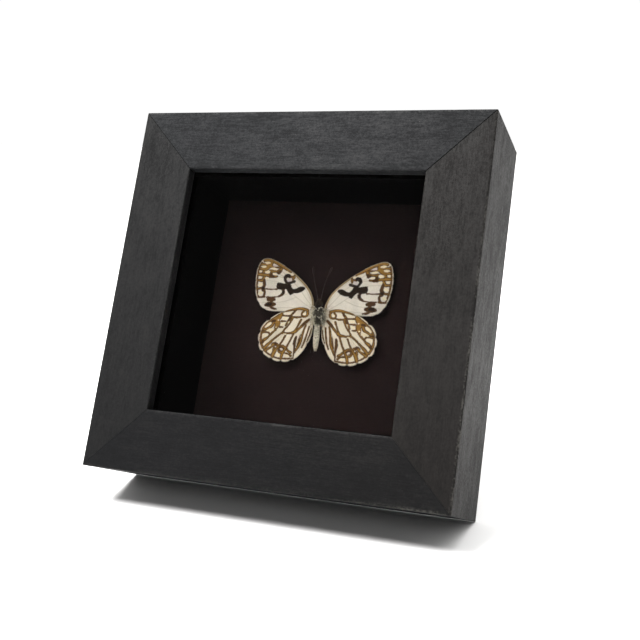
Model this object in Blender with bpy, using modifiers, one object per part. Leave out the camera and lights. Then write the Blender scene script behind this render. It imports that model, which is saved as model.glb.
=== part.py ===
"""Framed butterfly specimen: a marbled white butterfly, underside outwards, in a square
box frame that leans back on a hinged easel strut.

The frame is modelled upright and hung on one empty, which leans it back. In that
empty's axes X runs across the frame, Y from the front (negative) to the rails' back
faces (zero), and Z up from the lower face of the bottom rail. The specimen has an
empty of its own, whose X runs across the wings, Y towards the head and Z out of the
wings towards the glass.
"""

import math

import bmesh
import bpy
from mathutils import Matrix, Vector

MM = 0.001
GAP = 0.3 * MM
# How far a cutter runs past the face it opens
OVERRUN = 1.0 * MM
TURNED_STEPS = 16

# Frame
SIDE = 127.0 * MM
DEPTH = 36.0 * MM
RAIL_WIDTH = 21.0 * MM
LIP_DEPTH = 4.0 * MM
REBATE_WIDTH = 6.0 * MM
ARRIS = 0.5 * MM
MITRE_GAP = 0.3 * MM
LEAN = math.radians(24.0)

# What the rebate holds, from the front to the back
GLASS_THICKNESS = 2.0 * MM
GLASS_ARRIS = 0.2 * MM
SPACER_PROUD = 0.6 * MM
MOUNT_THICKNESS = 1.2 * MM
BACKBOARD_THICKNESS = 2.0 * MM
GLASS_FRONT = LIP_DEPTH + GAP
SPACER_FRONT = GLASS_FRONT + GLASS_THICKNESS + GAP
BACKBOARD_FRONT = DEPTH - BACKBOARD_THICKNESS
MOUNT_FRONT = BACKBOARD_FRONT - GAP - MOUNT_THICKNESS

# Turn buttons
BUTTON_LENGTH = 17.0 * MM
BUTTON_WIDTH = 7.0 * MM
BUTTON_THICKNESS = 0.8 * MM
BUTTON_SCREW_FROM_EDGE = 9.0 * MM
BUTTON_ALONG_RAIL = 27.0 * MM
BUTTON_PIVOT_INSET = 4.0 * MM
BUTTON_ARC_STEPS = 8
SCREW_RADIUS = 1.3 * MM
SCREW_LENGTH = 7.0 * MM
SCREW_HEAD_RADIUS = 2.6 * MM
SCREW_HEAD_HEIGHT = 1.2 * MM
SCREW_SLOT_WIDTH = 0.6 * MM
SCREW_SLOT_DEPTH = 0.5 * MM

# Easel strut and its hinge
HINGE_HEIGHT = 92.0 * MM
HINGE_WIDTH = 20.0 * MM
KNUCKLE_RADIUS = 2.0 * MM
KNUCKLE_HALF_WIDTH = 4.0 * MM
LEAF_LENGTH = 18.0 * MM
LEAF_THICKNESS = 0.8 * MM
LEAF_ROLL_DEGREES = 295.0
LEAF_ROLL_STEPS = 18
PIN_RADIUS = 0.9 * MM
PIN_HEAD_HEIGHT = 0.8 * MM
HINGE_OFFSET = GAP + KNUCKLE_RADIUS
RIVET_RADIUS = 0.9 * MM
RIVET_HEAD_RADIUS = 1.9 * MM
RIVET_HEAD_HEIGHT = 0.8 * MM
RIVET_SPREAD = 6.0 * MM
RIVET_FROM_PIN = 12.0 * MM
RIVET_END_COVER = 0.8 * MM
STRUT_OPENING = math.radians(38.0)
STRUT_THICKNESS = 3.0 * MM
STRUT_TOP_WIDTH = 24.0 * MM
STRUT_FOOT_WIDTH = 34.0 * MM
STRUT_HEAD = 4.4 * MM
STRUT_SPARE_LENGTH = 10.0 * MM

# Specimen
SPECIMEN_PLACE = (1.7 * MM, -0.9 * MM)
SPECIMEN_TURN = math.radians(3.5)
WING_PLANE_DEPTH = 30.0 * MM
WING_THICKNESS = 0.3 * MM
FOREWING_LIFT = -0.3 * MM
HINDWING_LIFT = 0.3 * MM
BODY_ACROSS = 0.3 * MM
BODY_LIFT = 1.1 * MM
PAD_SIZE = (4.0 * MM, 6.0 * MM, 0.8 * MM)

# Wing outlines of the right side, in millimetres from the body's axis: across, up
FOREWING_OUTLINE = (
    (1.8, 2.8), (2.2, 5.2), (3.6, 8.0), (5.6, 10.3), (8.4, 12.7), (12.0, 15.2),
    (16.0, 17.4), (20.0, 19.1), (22.8, 19.6), (24.8, 18.6), (25.8, 15.8), (26.0, 12.2),
    (25.5, 8.6), (24.6, 5.3), (22.8, 2.4), (20.5, 0.8), (17.5, 0.3), (13.0, 0.5),
    (7.0, 0.4), (2.6, 0.2),
)
HINDWING_OUTLINE = (
    (2.3, 1.4), (4.5, 2.4), (7.5, 2.6), (11.0, 1.7), (14.5, 0.3), (17.5, -1.6),
    (20.2, -4.0), (21.6, -7.0), (21.7, -10.4), (20.4, -13.6), (17.6, -15.8),
    (14.4, -17.1), (11.2, -17.4), (8.2, -16.8), (5.4, -14.8), (3.4, -11.6),
    (2.0, -8.4), (1.6, -5.0), (2.1, -1.6),
)
# How each wing was set: across, up (mm) and turn (degrees) from the outline's own place
WING_SET = {
    "forewing_right": (0.0, 0.0, 0.0),
    "forewing_left": (0.9, 0.6, 4.0),
    "hindwing_right": (0.0, 0.0, 0.0),
    "hindwing_left": (0.1, 0.3, 3.5),
}
# The turned body: distance along it from the thorax's middle, and radius (mm)
BODY_PROFILE = (
    (4.9, 0.0), (4.7, 0.65), (4.1, 1.1), (3.4, 1.05), (2.9, 0.85), (2.3, 1.5),
    (1.3, 1.95), (0.0, 2.0), (-1.3, 1.75), (-2.4, 1.15), (-3.3, 1.05), (-5.0, 1.2),
    (-8.0, 1.1), (-10.5, 0.85), (-12.0, 0.45), (-12.6, 0.0),
)
# Antennae and legs: across, up and out (mm) from the body's axis, with the tube's radius
ANTENNA_LEFT = (
    (-0.6, 5.3, 0.2, 0.12), (-1.1, 8.0, 0.6, 0.12), (-2.0, 11.5, 0.8, 0.12),
    (-2.7, 14.5, 0.8, 0.15), (-3.1, 16.5, 0.7, 0.28), (-3.2, 17.6, 0.6, 0.2),
)
ANTENNA_RIGHT = (
    (0.6, 5.3, 0.2, 0.12), (1.0, 8.0, 0.6, 0.12), (1.8, 11.5, 0.8, 0.12),
    (2.8, 14.5, 0.8, 0.15), (3.5, 16.4, 0.7, 0.28), (3.8, 17.4, 0.6, 0.2),
)
MIDDLE_LEG = (
    (0.3, 1.5, 2.6, 0.22), (1.6, 2.6, 2.1, 0.2), (2.6, 1.4, 1.2, 0.16), (3.2, -0.4, 0.6, 0.12),
)
HIND_LEG = (
    (0.3, -0.5, 2.6, 0.22), (2.0, -1.4, 1.9, 0.2), (2.3, -3.4, 1.1, 0.16), (2.1, -5.2, 0.6, 0.12),
)
LEFT_LEGS_UP = 0.5


def clear_scene():
    for old in list(bpy.data.objects):
        bpy.data.objects.remove(old)


def add_collection(name):
    made = bpy.data.collections.new(name)
    bpy.context.scene.collection.children.link(made)
    return made


def add_material(name, colour, roughness, metallic=0.0, see_through=0.0):
    made = bpy.data.materials.new(name)
    made.use_nodes = True
    surface = made.node_tree.nodes["Principled BSDF"]
    surface.inputs["Base Color"].default_value = (*colour, 1.0)
    surface.inputs["Roughness"].default_value = roughness
    surface.inputs["Metallic"].default_value = metallic
    surface.inputs["Transmission Weight"].default_value = see_through
    return made


def add_empty(name, parent, location, rotation=(0.0, 0.0, 0.0)):
    made = bpy.data.objects.new(name, None)
    PARTS.objects.link(made)
    made.parent = parent
    made.location = location
    made.rotation_euler = rotation
    return made


def add_object(name, data, parent=None, material=None, location=(0, 0, 0), rotation=(0, 0, 0)):
    """A named piece of the model, in its parent's axes. A blank, used up later, has no
    parent and no material."""
    made = bpy.data.objects.new(name, data)
    PARTS.objects.link(made)
    made.parent = parent
    made.location = location
    made.rotation_euler = rotation
    if material and not data.materials:
        data.materials.append(material)
    return made


def add_cutter(name, mesh, parent=None):
    made = bpy.data.objects.new(name, mesh)
    CUTTERS.objects.link(made)
    made.parent = parent
    made.hide_render = True
    made.display_type = "WIRE"
    return made


def cut(piece, cutter):
    """Take the cutter's shape out of the piece, with the EXACT solver."""
    boolean = piece.modifiers.new("cut by " + cutter.name, "BOOLEAN")
    boolean.operation = "DIFFERENCE"
    boolean.object = cutter


def finished_mesh(shape, name):
    bmesh.ops.recalc_face_normals(shape, faces=shape.faces)
    mesh = bpy.data.meshes.new(name)
    shape.to_mesh(mesh)
    shape.free()
    return mesh


def box_mesh(name, low, high, arris=0.0):
    """A box between two corners, with its edges eased where an arris is given."""
    low, high = Vector(low), Vector(high)
    place = Matrix.Translation((low + high) / 2) @ Matrix.Diagonal((*(high - low), 1.0))
    shape = bmesh.new()
    bmesh.ops.create_cube(shape, size=1.0, matrix=place)
    if arris:
        bmesh.ops.bevel(shape, geom=shape.edges, offset=arris, segments=1, affect="EDGES")
    return finished_mesh(shape, name)


def rod_mesh(name, rods, sides=16):
    """Capped cylinders, each given as its start, end and radius."""
    shape = bmesh.new()
    for start, end, radius in rods:
        run = Vector(end) - Vector(start)
        turn = run.to_track_quat("Z", "Y").to_matrix().to_4x4()
        bmesh.ops.create_cone(
            shape, cap_ends=True, segments=sides, radius1=radius, radius2=radius,
            depth=run.length, matrix=Matrix.Translation(Vector(start) + run / 2) @ turn,
        )
    return finished_mesh(shape, name)


def mesh_of(piece):
    """The piece's evaluated mesh with its loose caps welded; the piece itself is removed."""
    bpy.context.view_layer.update()
    evaluated = piece.evaluated_get(bpy.context.evaluated_depsgraph_get())
    mesh = bpy.data.meshes.new_from_object(evaluated)
    shape = bmesh.new()
    shape.from_mesh(mesh)
    bmesh.ops.remove_doubles(shape, verts=shape.verts, dist=1e-6)
    bmesh.ops.recalc_face_normals(shape, faces=shape.faces)
    shape.to_mesh(mesh)
    shape.free()
    bpy.data.objects.remove(piece)
    return mesh


def plate_curve(name, outline, thickness, smooth=False):
    """A closed flat outline with a thickness, centred on its own plane."""
    curve = bpy.data.curves.new(name, "CURVE")
    curve.dimensions = "2D"
    curve.fill_mode = "BOTH"
    curve.extrude = thickness / 2
    curve.resolution_u = 4
    if smooth:
        spline = curve.splines.new("BEZIER")
        spline.bezier_points.add(len(outline) - 1)
        for point, (across, up) in zip(spline.bezier_points, outline):
            point.co = (across, up, 0.0)
            point.handle_left_type = "AUTO"
            point.handle_right_type = "AUTO"
    else:
        spline = curve.splines.new("POLY")
        spline.points.add(len(outline) - 1)
        for point, (across, up) in zip(spline.points, outline):
            point.co = (across, up, 0.0, 1.0)
    spline.use_cyclic_u = True
    return curve


def plate_mesh(name, outline, thickness):
    return mesh_of(add_object(name + "_outline", plate_curve(name, outline, thickness)))


def tube_curve(name, route):
    """A round tube through points that are given with their radii."""
    curve = bpy.data.curves.new(name, "CURVE")
    curve.dimensions = "3D"
    curve.bevel_depth = 1.0 * MM
    curve.bevel_resolution = 1
    curve.use_fill_caps = True
    spline = curve.splines.new("POLY")
    spline.points.add(len(route) - 1)
    for point, (across, up, out, radius) in zip(spline.points, route):
        point.co = (across * MM, up * MM, out * MM, 1.0)
        point.radius = radius
    return curve


def turned(name, profile, parent=None, material=None, location=(0, 0, 0), rotation=(0, 0, 0)):
    """A shape turned about its own Z: the profile runs down the outer side, top to bottom."""
    shape = bmesh.new()
    row = [shape.verts.new((radius, 0.0, along)) for along, radius in profile]
    for upper, lower in zip(row, row[1:]):
        shape.edges.new((upper, lower))
    mesh = bpy.data.meshes.new(name)
    shape.to_mesh(mesh)
    shape.free()
    made = add_object(name, mesh, parent, material, location, rotation)
    screw = made.modifiers.new("turn", "SCREW")
    screw.steps = TURNED_STEPS
    screw.render_steps = TURNED_STEPS
    screw.use_merge_vertices = True
    screw.merge_threshold = 1e-5
    return made


def arc(radius, start, end, steps):
    """Points on an arc about the origin, angles in degrees."""
    turn = (math.radians(start + (end - start) * step / steps) for step in range(steps + 1))
    return [(radius * math.cos(angle), radius * math.sin(angle)) for angle in turn]


# ---- frame -------------------------------------------------------------------------


def rail_mesh():
    """One rail about the frame's middle, below it: the moulding's section extruded, with
    its show arrises eased and both ends mitred."""
    outer, sight = SIDE / 2, SIDE / 2 - RAIL_WIDTH
    front, back = -DEPTH, 0.0
    lip = front + LIP_DEPTH
    section = [
        (outer, front), (outer, back), (sight + REBATE_WIDTH, back),
        (sight + REBATE_WIDTH, lip), (sight, lip), (sight, front),
    ]
    mesh = plate_mesh("rail", section, SIDE)
    mesh.transform(Matrix.Rotation(math.radians(90), 4, "Y"))
    shape = bmesh.new()
    shape.from_mesh(mesh)
    show = [
        edge for edge in shape.edges
        if abs(edge.verts[0].co.x - edge.verts[1].co.x) > SIDE / 2
        and all(abs(corner.co.y - front) < GAP for corner in edge.verts)
    ]
    bmesh.ops.bevel(shape, geom=show, offset=ARRIS, segments=2, profile=0.5, affect="EDGES")
    for side in (1, -1):
        bmesh.ops.bisect_plane(
            shape, geom=shape.verts[:] + shape.edges[:] + shape.faces[:], dist=1e-7,
            plane_co=(-side * MITRE_GAP / math.sqrt(2), 0, 0), plane_no=(side, 0, 1), clear_outer=True,
        )
        rim = [edge for edge in shape.edges if edge.is_boundary]
        bmesh.ops.holes_fill(shape, edges=rim, sides=0)
    bmesh.ops.recalc_face_normals(shape, faces=shape.faces)
    shape.to_mesh(mesh)
    shape.free()
    return mesh


def build_rails():
    """The four rails share one mesh, which holds the pilot hole of its turn button's screw."""
    blank = add_object("rail_blank", rail_mesh())
    x, z = BUTTON_ALONG_RAIL, BUTTON_SCREW_FROM_EDGE - SIDE / 2
    bore = ((x, -SCREW_LENGTH - GAP, z), (x, OVERRUN, z), SCREW_RADIUS + GAP)
    cut(blank, add_cutter("rail_pilot_cutter", rod_mesh("pilot", [bore])))
    mesh = mesh_of(blank)
    for name, quarter in (("bottom", 0), ("left", 1), ("top", 2), ("right", 3)):
        turn = (0, math.radians(90 * quarter), 0)
        add_object("rail_" + name, mesh, FRAME, PAINTED_WOOD, (0, 0, SIDE / 2), turn)


def rebate_box(name, material, front, thickness, arris=0.0):
    """A square sheet that fills the rebate, with a gap all round."""
    half = SIDE / 2 - RAIL_WIDTH + REBATE_WIDTH - GAP
    near = -DEPTH + front
    low = (-half, near, -half)
    high = (half, near + thickness, half)
    return add_object(name, box_mesh(name, low, high, arris), FRAME, material, (0, 0, SIDE / 2))


def build_spacers():
    """Strips between the glass and the mount board: two run right across, two between them."""
    outer = SIDE / 2 - RAIL_WIDTH + REBATE_WIDTH - GAP
    inner = SIDE / 2 - RAIL_WIDTH - SPACER_PROUD
    front = -DEPTH + SPACER_FRONT
    back = -DEPTH + MOUNT_FRONT - GAP
    between = inner - GAP
    strips = {
        "spacer_top": ((-outer, front, inner), (outer, back, outer)),
        "spacer_bottom": ((-outer, front, -outer), (outer, back, -inner)),
        "spacer_left": ((-outer, front, -between), (-inner, back, between)),
        "spacer_right": ((inner, front, -between), (outer, back, between)),
    }
    for name, (low, high) in strips.items():
        add_object(name, box_mesh(name, low, high), FRAME, BLACK_SPACER, (0, 0, SIDE / 2))


# ---- hardware ----------------------------------------------------------------------


def screw_mesh():
    """A slotted round-head screw on Z, its head's underside at zero."""
    profile = (
        (SCREW_HEAD_HEIGHT, 0.0), (SCREW_HEAD_HEIGHT, SCREW_HEAD_RADIUS * 0.55),
        (SCREW_HEAD_HEIGHT * 0.5, SCREW_HEAD_RADIUS * 0.92), (0.0, SCREW_HEAD_RADIUS),
        (0.0, SCREW_RADIUS), (-SCREW_LENGTH * 0.75, SCREW_RADIUS), (-SCREW_LENGTH, 0.0),
    )
    screw = turned("screw_blank", profile)
    reach = SCREW_HEAD_RADIUS + OVERRUN
    slot = box_mesh(
        "slot", (-reach, -SCREW_SLOT_WIDTH / 2, SCREW_HEAD_HEIGHT - SCREW_SLOT_DEPTH),
        (reach, SCREW_SLOT_WIDTH / 2, SCREW_HEAD_HEIGHT + OVERRUN),
    )
    cut(screw, add_cutter("screw_slot_cutter", slot))
    return mesh_of(screw)


def build_turn_buttons():
    """A steel button on each rail's back, laid over the backboard's edge, and its screw."""
    half_width = BUTTON_WIDTH / 2
    low_end = half_width - BUTTON_PIVOT_INSET
    high_end = low_end + BUTTON_LENGTH - BUTTON_WIDTH
    outline = [(x, y + low_end) for x, y in arc(half_width, 180, 360, BUTTON_ARC_STEPS)]
    outline += [(x, y + high_end) for x, y in arc(half_width, 0, 180, BUTTON_ARC_STEPS)]
    blank = add_object("button_blank", plate_mesh("button", outline, BUTTON_THICKNESS))
    hole = rod_mesh("button_hole", [((0, 0, -OVERRUN), (0, 0, OVERRUN), SCREW_RADIUS + GAP)])
    cut(blank, add_cutter("button_hole_cutter", hole))
    button = mesh_of(blank)
    screw = screw_mesh()
    pivot_radius = SIDE / 2 - BUTTON_SCREW_FROM_EDGE
    lift = GAP + BUTTON_THICKNESS / 2
    head = GAP + BUTTON_THICKNESS + GAP
    for name, quarter in (("bottom", 0), ("left", 1), ("top", 2), ("right", 3)):
        angle = math.radians(90 * quarter)
        pivot = Matrix.Rotation(angle, 3, "Y") @ Vector((BUTTON_ALONG_RAIL, 0, -pivot_radius))
        x, z = pivot.x, pivot.z + SIDE / 2
        flat = (math.radians(90), angle, 0)
        outwards = (math.radians(-90), angle, 0)
        add_object("turn_button_" + name, button, FRAME, STEEL, (x, lift, z), flat)
        add_object("turn_button_screw_" + name, screw, FRAME, STEEL, (x, head, z), outwards)


def leaf_mesh():
    """A strip rolled round the pin, seen along the pin and extruded: flat part above the
    pin on its near side, the roll going under the pin and back over it."""
    inside = KNUCKLE_RADIUS - LEAF_THICKNESS
    rolled = 180 + LEAF_ROLL_DEGREES
    outer_roll = arc(KNUCKLE_RADIUS, 180, rolled, LEAF_ROLL_STEPS)
    inner_roll = arc(inside, rolled, 180, LEAF_ROLL_STEPS)
    outline = [(-KNUCKLE_RADIUS, LEAF_LENGTH)] + outer_roll + inner_roll + [(-inside, LEAF_LENGTH)]
    mesh = plate_mesh("leaf", outline, HINGE_WIDTH)
    # The outline's across and up become Y and Z, and its thickness lies along the pin.
    mesh.transform(Matrix(((0, 0, 1, 0), (1, 0, 0, 0), (0, 1, 0, 0), (0, 0, 0, 1))))
    return mesh


def rivet_places(side):
    """Name, X and Z of a leaf's two rivets: above the pin (side 1) or below it (side -1)."""
    return [
        ("left", -RIVET_SPREAD, side * RIVET_FROM_PIN),
        ("right", RIVET_SPREAD, side * RIVET_FROM_PIN),
    ]


def build_hinge(backboard):
    """Both leaves, the pin and the rivets of the easel hinge."""
    clear = KNUCKLE_RADIUS + 2 * GAP
    slot = KNUCKLE_HALF_WIDTH + GAP / 2
    fixed = add_object("hinge_leaf_backboard", leaf_mesh(), HINGE, STEEL)
    middle = box_mesh("middle", (-slot, -clear, -clear), (slot, clear, clear))
    cut(fixed, add_cutter("leaf_middle_cutter", middle, HINGE))

    moving = add_object("hinge_leaf_strut", leaf_mesh(), STRUT, STEEL)
    moving.data.transform(Matrix.Rotation(math.pi, 4, "X"))
    for name, near, far in (("left", -HINGE_WIDTH, GAP - slot), ("right", slot - GAP, HINGE_WIDTH)):
        end = box_mesh(name, (near, -clear, -clear), (far, clear, clear))
        cut(moving, add_cutter("leaf_%s_cutter" % name, end, STRUT))

    neck = HINGE_WIDTH / 2 + GAP
    tip = neck + PIN_HEAD_HEIGHT
    half_pin = [(tip, 0.0), (tip, PIN_RADIUS * 1.4), (neck, PIN_RADIUS * 1.7), (neck, PIN_RADIUS)]
    pin = half_pin + [(-along, radius) for along, radius in reversed(half_pin)]
    turned("hinge_pin", pin, HINGE, STEEL, rotation=(0, math.radians(90), 0))

    board_front = -(HINGE_OFFSET + BACKBOARD_THICKNESS)
    leaf_back = LEAF_THICKNESS - KNUCKLE_RADIUS
    for name, x, z in rivet_places(1):
        through = ((x, board_front - OVERRUN, z), (x, leaf_back + OVERRUN, z), RIVET_RADIUS + GAP)
        hole = add_cutter("backboard_rivet_cutter_" + name, rod_mesh("hole", [through]), HINGE)
        cut(fixed, hole)
        cut(backboard, hole)
        place = (x, leaf_back + GAP, z)
        add_rivet("backboard_rivet_" + name, HINGE, place, -90, leaf_back - board_front)

    blind_end = HINGE_OFFSET + STRUT_THICKNESS - RIVET_END_COVER
    leaf_front = KNUCKLE_RADIUS - LEAF_THICKNESS
    for name, x, z in rivet_places(-1):
        through = ((x, 0, z), (x, blind_end, z), RIVET_RADIUS + GAP)
        hole = add_cutter("strut_rivet_cutter_" + name, rod_mesh("hole", [through]), STRUT)
        cut(moving, hole)
        cut(bpy.data.objects["strut"], hole)
        place = (x, leaf_front - GAP, z)
        add_rivet("strut_rivet_" + name, STRUT, place, 90, blind_end - leaf_front)


def add_rivet(name, parent, place, turn, length):
    """A domed rivet whose head sits at the place, its shank running away from the head."""
    profile = (
        (RIVET_HEAD_HEIGHT, 0.0), (RIVET_HEAD_HEIGHT * 0.8, RIVET_HEAD_RADIUS * 0.55),
        (RIVET_HEAD_HEIGHT * 0.3, RIVET_HEAD_RADIUS * 0.95), (0.0, RIVET_HEAD_RADIUS),
        (0.0, RIVET_RADIUS), (-length, RIVET_RADIUS), (-length, 0.0),
    )
    turned(name, profile, parent, STEEL, place, (math.radians(turn), 0, 0))


def build_strut():
    """The easel leg, tapered, with its head above the pin and its foot cut to the floor."""
    pin_height = HINGE_HEIGHT * math.cos(LEAN) - HINGE_OFFSET * math.sin(LEAN)
    tilt = STRUT_OPENING - LEAN
    length = pin_height / math.cos(tilt) + STRUT_SPARE_LENGTH
    outline = [
        (-STRUT_FOOT_WIDTH / 2, -length), (STRUT_FOOT_WIDTH / 2, -length),
        (STRUT_TOP_WIDTH / 2, 0.0), (STRUT_TOP_WIDTH / 2, STRUT_HEAD),
        (-STRUT_TOP_WIDTH / 2, STRUT_HEAD), (-STRUT_TOP_WIDTH / 2, 0.0),
    ]
    mesh = plate_mesh("strut", outline, STRUT_THICKNESS)
    upright = Matrix.Rotation(math.radians(90), 4, "X")
    mesh.transform(Matrix.Translation((0, HINGE_OFFSET + STRUT_THICKNESS / 2, 0)) @ upright)
    shape = bmesh.new()
    shape.from_mesh(mesh)
    floor = Vector((0, -math.sin(tilt), -math.cos(tilt)))
    bmesh.ops.bisect_plane(
        shape, geom=shape.verts[:] + shape.edges[:] + shape.faces[:], dist=1e-7,
        plane_co=floor * pin_height, plane_no=floor, clear_outer=True,
    )
    rim = [edge for edge in shape.edges if edge.is_boundary]
    bmesh.ops.holes_fill(shape, edges=rim, sides=0)
    bmesh.ops.recalc_face_normals(shape, faces=shape.faces)
    shape.to_mesh(mesh)
    shape.free()
    add_object("strut", mesh, STRUT, STRUT_BOARD)


# ---- specimen ----------------------------------------------------------------------


def set_wing(name, outline, lift):
    """One wing from its right-hand outline, mirrored for the left and turned as it was set."""
    side = -1 if name.endswith("left") else 1
    across, up, turn = WING_SET[name]
    cosine, sine = math.cos(math.radians(turn)), math.sin(math.radians(turn))
    points = [
        (side * (x * cosine - y * sine + across) * MM, (x * sine + y * cosine + up) * MM)
        for x, y in outline
    ]
    curve = plate_curve(name, points, WING_THICKNESS, smooth=True)
    add_object(name, curve, SPECIMEN, WING_MEMBRANE, (BODY_ACROSS, 0, lift))


def left_leg(route):
    return [(-across, up + LEFT_LEGS_UP, out, radius) for across, up, out, radius in route]


def build_specimen():
    for side in ("left", "right"):
        set_wing("forewing_" + side, FOREWING_OUTLINE, FOREWING_LIFT)
        set_wing("hindwing_" + side, HINDWING_OUTLINE, HINDWING_LIFT)
    profile = [(along * MM, radius * MM) for along, radius in BODY_PROFILE]
    place = (BODY_ACROSS, 0, BODY_LIFT)
    turned("butterfly_body", profile, SPECIMEN, HAIRED_BODY, place, (math.radians(-90), 0, 0))
    limbs = {
        "antenna_left": ANTENNA_LEFT,
        "antenna_right": ANTENNA_RIGHT,
        "middle_leg_left": left_leg(MIDDLE_LEG),
        "middle_leg_right": MIDDLE_LEG,
        "hind_leg_left": left_leg(HIND_LEG),
        "hind_leg_right": HIND_LEG,
    }
    for name, route in limbs.items():
        add_object(name, tube_curve(name, route), SPECIMEN, LIMB, place)
    width, length, thickness = PAD_SIZE
    top = -(MOUNT_FRONT - WING_PLANE_DEPTH) + GAP + thickness
    low, high = (-width / 2, -length / 2, top - thickness), (width / 2, length / 2, top)
    add_object("cork_pad", box_mesh("cork_pad", low, high), SPECIMEN, CORK, (BODY_ACROSS, 0, 0))


def centre_on_floor():
    """Slide the leaning frame along Y until the whole model is centred over the origin."""
    bpy.context.view_layer.update()
    graph = bpy.context.evaluated_depsgraph_get()
    reach = []
    for piece in PARTS.objects:
        if piece.type != "EMPTY":
            evaluated = piece.evaluated_get(graph)
            corners = evaluated.to_mesh().vertices
            reach += [(evaluated.matrix_world @ corner.co).y for corner in corners]
            evaluated.to_mesh_clear()
    FRAME.location.y -= (min(reach) + max(reach)) / 2


clear_scene()
PARTS = add_collection("framed_butterfly_specimen")
CUTTERS = add_collection("cutters")

PAINTED_WOOD = add_material("black painted wood", (0.055, 0.054, 0.052), 0.5)
BLACK_SPACER = add_material("black spacer", (0.004, 0.003, 0.004), 0.8)
GLASS = add_material("glass", (1.0, 1.0, 1.0), 0.02, see_through=1.0)
MOUNT_CARD = add_material("dark mount card", (0.022, 0.016, 0.015), 0.9)
BACK_CARD = add_material("backboard", (0.03, 0.028, 0.026), 0.8)
STRUT_BOARD = add_material("strut board", (0.025, 0.024, 0.023), 0.7)
STEEL = add_material("steel", (0.55, 0.54, 0.52), 0.35, metallic=1.0)
WING_MEMBRANE = add_material("scaled wing", (0.68, 0.6, 0.48), 0.7)
HAIRED_BODY = add_material("haired body", (0.3, 0.28, 0.22), 0.9)
LIMB = add_material("antenna and leg", (0.08, 0.06, 0.045), 0.6)
CORK = add_material("cork", (0.4, 0.26, 0.14), 0.9)

FRAME = add_empty("leaning_frame", None, (0, 0, 0), (-LEAN, 0, 0))
HINGE = add_empty("hinge_axis", FRAME, (0, HINGE_OFFSET, HINGE_HEIGHT))
STRUT = add_empty("strut_axis", HINGE, (0, 0, 0), (STRUT_OPENING, 0, 0))
SPECIMEN = add_empty(
    "specimen_plane", FRAME,
    (SPECIMEN_PLACE[0], WING_PLANE_DEPTH - DEPTH, SIDE / 2 + SPECIMEN_PLACE[1]),
    (math.radians(90), -SPECIMEN_TURN, 0),
)

build_rails()
rebate_box("glass_pane", GLASS, GLASS_FRONT, GLASS_THICKNESS, GLASS_ARRIS)
build_spacers()
rebate_box("mount_board", MOUNT_CARD, MOUNT_FRONT, MOUNT_THICKNESS)
build_strut()
build_hinge(rebate_box("backboard", BACK_CARD, BACKBOARD_FRONT, BACKBOARD_THICKNESS))
build_turn_buttons()
build_specimen()
centre_on_floor()
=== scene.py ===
"""A framed butterfly: the black box frame around its glass, and the set specimen inside it."""

import math
import random

import bpy
import numpy as np
from mathutils import Matrix, Vector, noise


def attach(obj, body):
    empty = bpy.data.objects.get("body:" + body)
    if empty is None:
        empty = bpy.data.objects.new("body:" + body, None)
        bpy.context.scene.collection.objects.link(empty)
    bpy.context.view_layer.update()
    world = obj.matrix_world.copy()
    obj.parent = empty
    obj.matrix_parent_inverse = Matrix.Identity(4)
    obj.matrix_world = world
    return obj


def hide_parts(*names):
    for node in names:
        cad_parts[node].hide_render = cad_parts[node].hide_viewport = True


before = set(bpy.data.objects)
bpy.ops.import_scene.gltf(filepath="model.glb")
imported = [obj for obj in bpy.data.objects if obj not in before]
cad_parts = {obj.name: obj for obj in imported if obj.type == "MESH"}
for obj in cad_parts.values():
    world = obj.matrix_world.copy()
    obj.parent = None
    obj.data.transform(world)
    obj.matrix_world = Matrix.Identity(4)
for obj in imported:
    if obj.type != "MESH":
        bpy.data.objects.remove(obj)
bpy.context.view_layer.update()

MM = 0.001

# The box frame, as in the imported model
SIDE = 127.0 * MM
DEPTH = 36.0 * MM
RAIL_WIDTH = 21.0 * MM
LIP_DEPTH = 4.0 * MM
REBATE_WIDTH = 6.0 * MM
LEAN = math.radians(24.0)
UPRIGHT = Matrix.Rotation(-LEAN, 4, "X")
LOWEST = min(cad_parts["rail_bottom"].data.vertices, key=lambda corner: corner.co.z)
BACK_LOW_EDGE = Vector((0, LOWEST.co.y, 0))
TO_WORLD = Matrix.Translation(BACK_LOW_EDGE) @ UPRIGHT

# The specimen's own axes: X across the wings, Y to the head, Z out to the glass
SPECIMEN_PLACE = Vector((1.7 * MM, -6.0 * MM, SIDE / 2 - 0.9 * MM))
SPECIMEN_TURN = math.radians(3.5)
BODY_ACROSS = 0.3
BODY_LIFT = 1.1
SPECIMEN = (
    TO_WORLD
    @ Matrix.Translation(SPECIMEN_PLACE)
    @ Matrix.Rotation(-SPECIMEN_TURN, 4, "Y")
    @ Matrix.Rotation(math.radians(90), 4, "X")
    @ Matrix.Scale(MM, 4)
)


# ---- camera, light and floor ----------------------------------------------------------

CAMERA_LENS = 56.5
CAMERA_PLACE = (0.1305, -0.3183, 0.1283)
# Degrees: heading to the left of +Y, pitch above the level, roll
CAMERA_HEADING, CAMERA_PITCH, CAMERA_ROLL = 21.77, -11.37, -0.49

BACKDROP_LIGHT = 1.7
OVERHEAD_LIGHT = 2.8
SEEN_BACKDROP = 1.02


def add_camera():
    data = bpy.data.cameras.new("camera")
    data.lens = CAMERA_LENS
    camera = bpy.data.objects.new("camera", data)
    bpy.context.scene.collection.objects.link(camera)
    heading = Matrix.Rotation(math.radians(CAMERA_HEADING), 4, "Z")
    pitch = Matrix.Rotation(math.radians(90 + CAMERA_PITCH), 4, "X")
    roll = Matrix.Rotation(math.radians(CAMERA_ROLL), 4, "Z")
    camera.matrix_world = Matrix.Translation(CAMERA_PLACE) @ heading @ pitch @ roll
    bpy.context.scene.camera = camera


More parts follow.
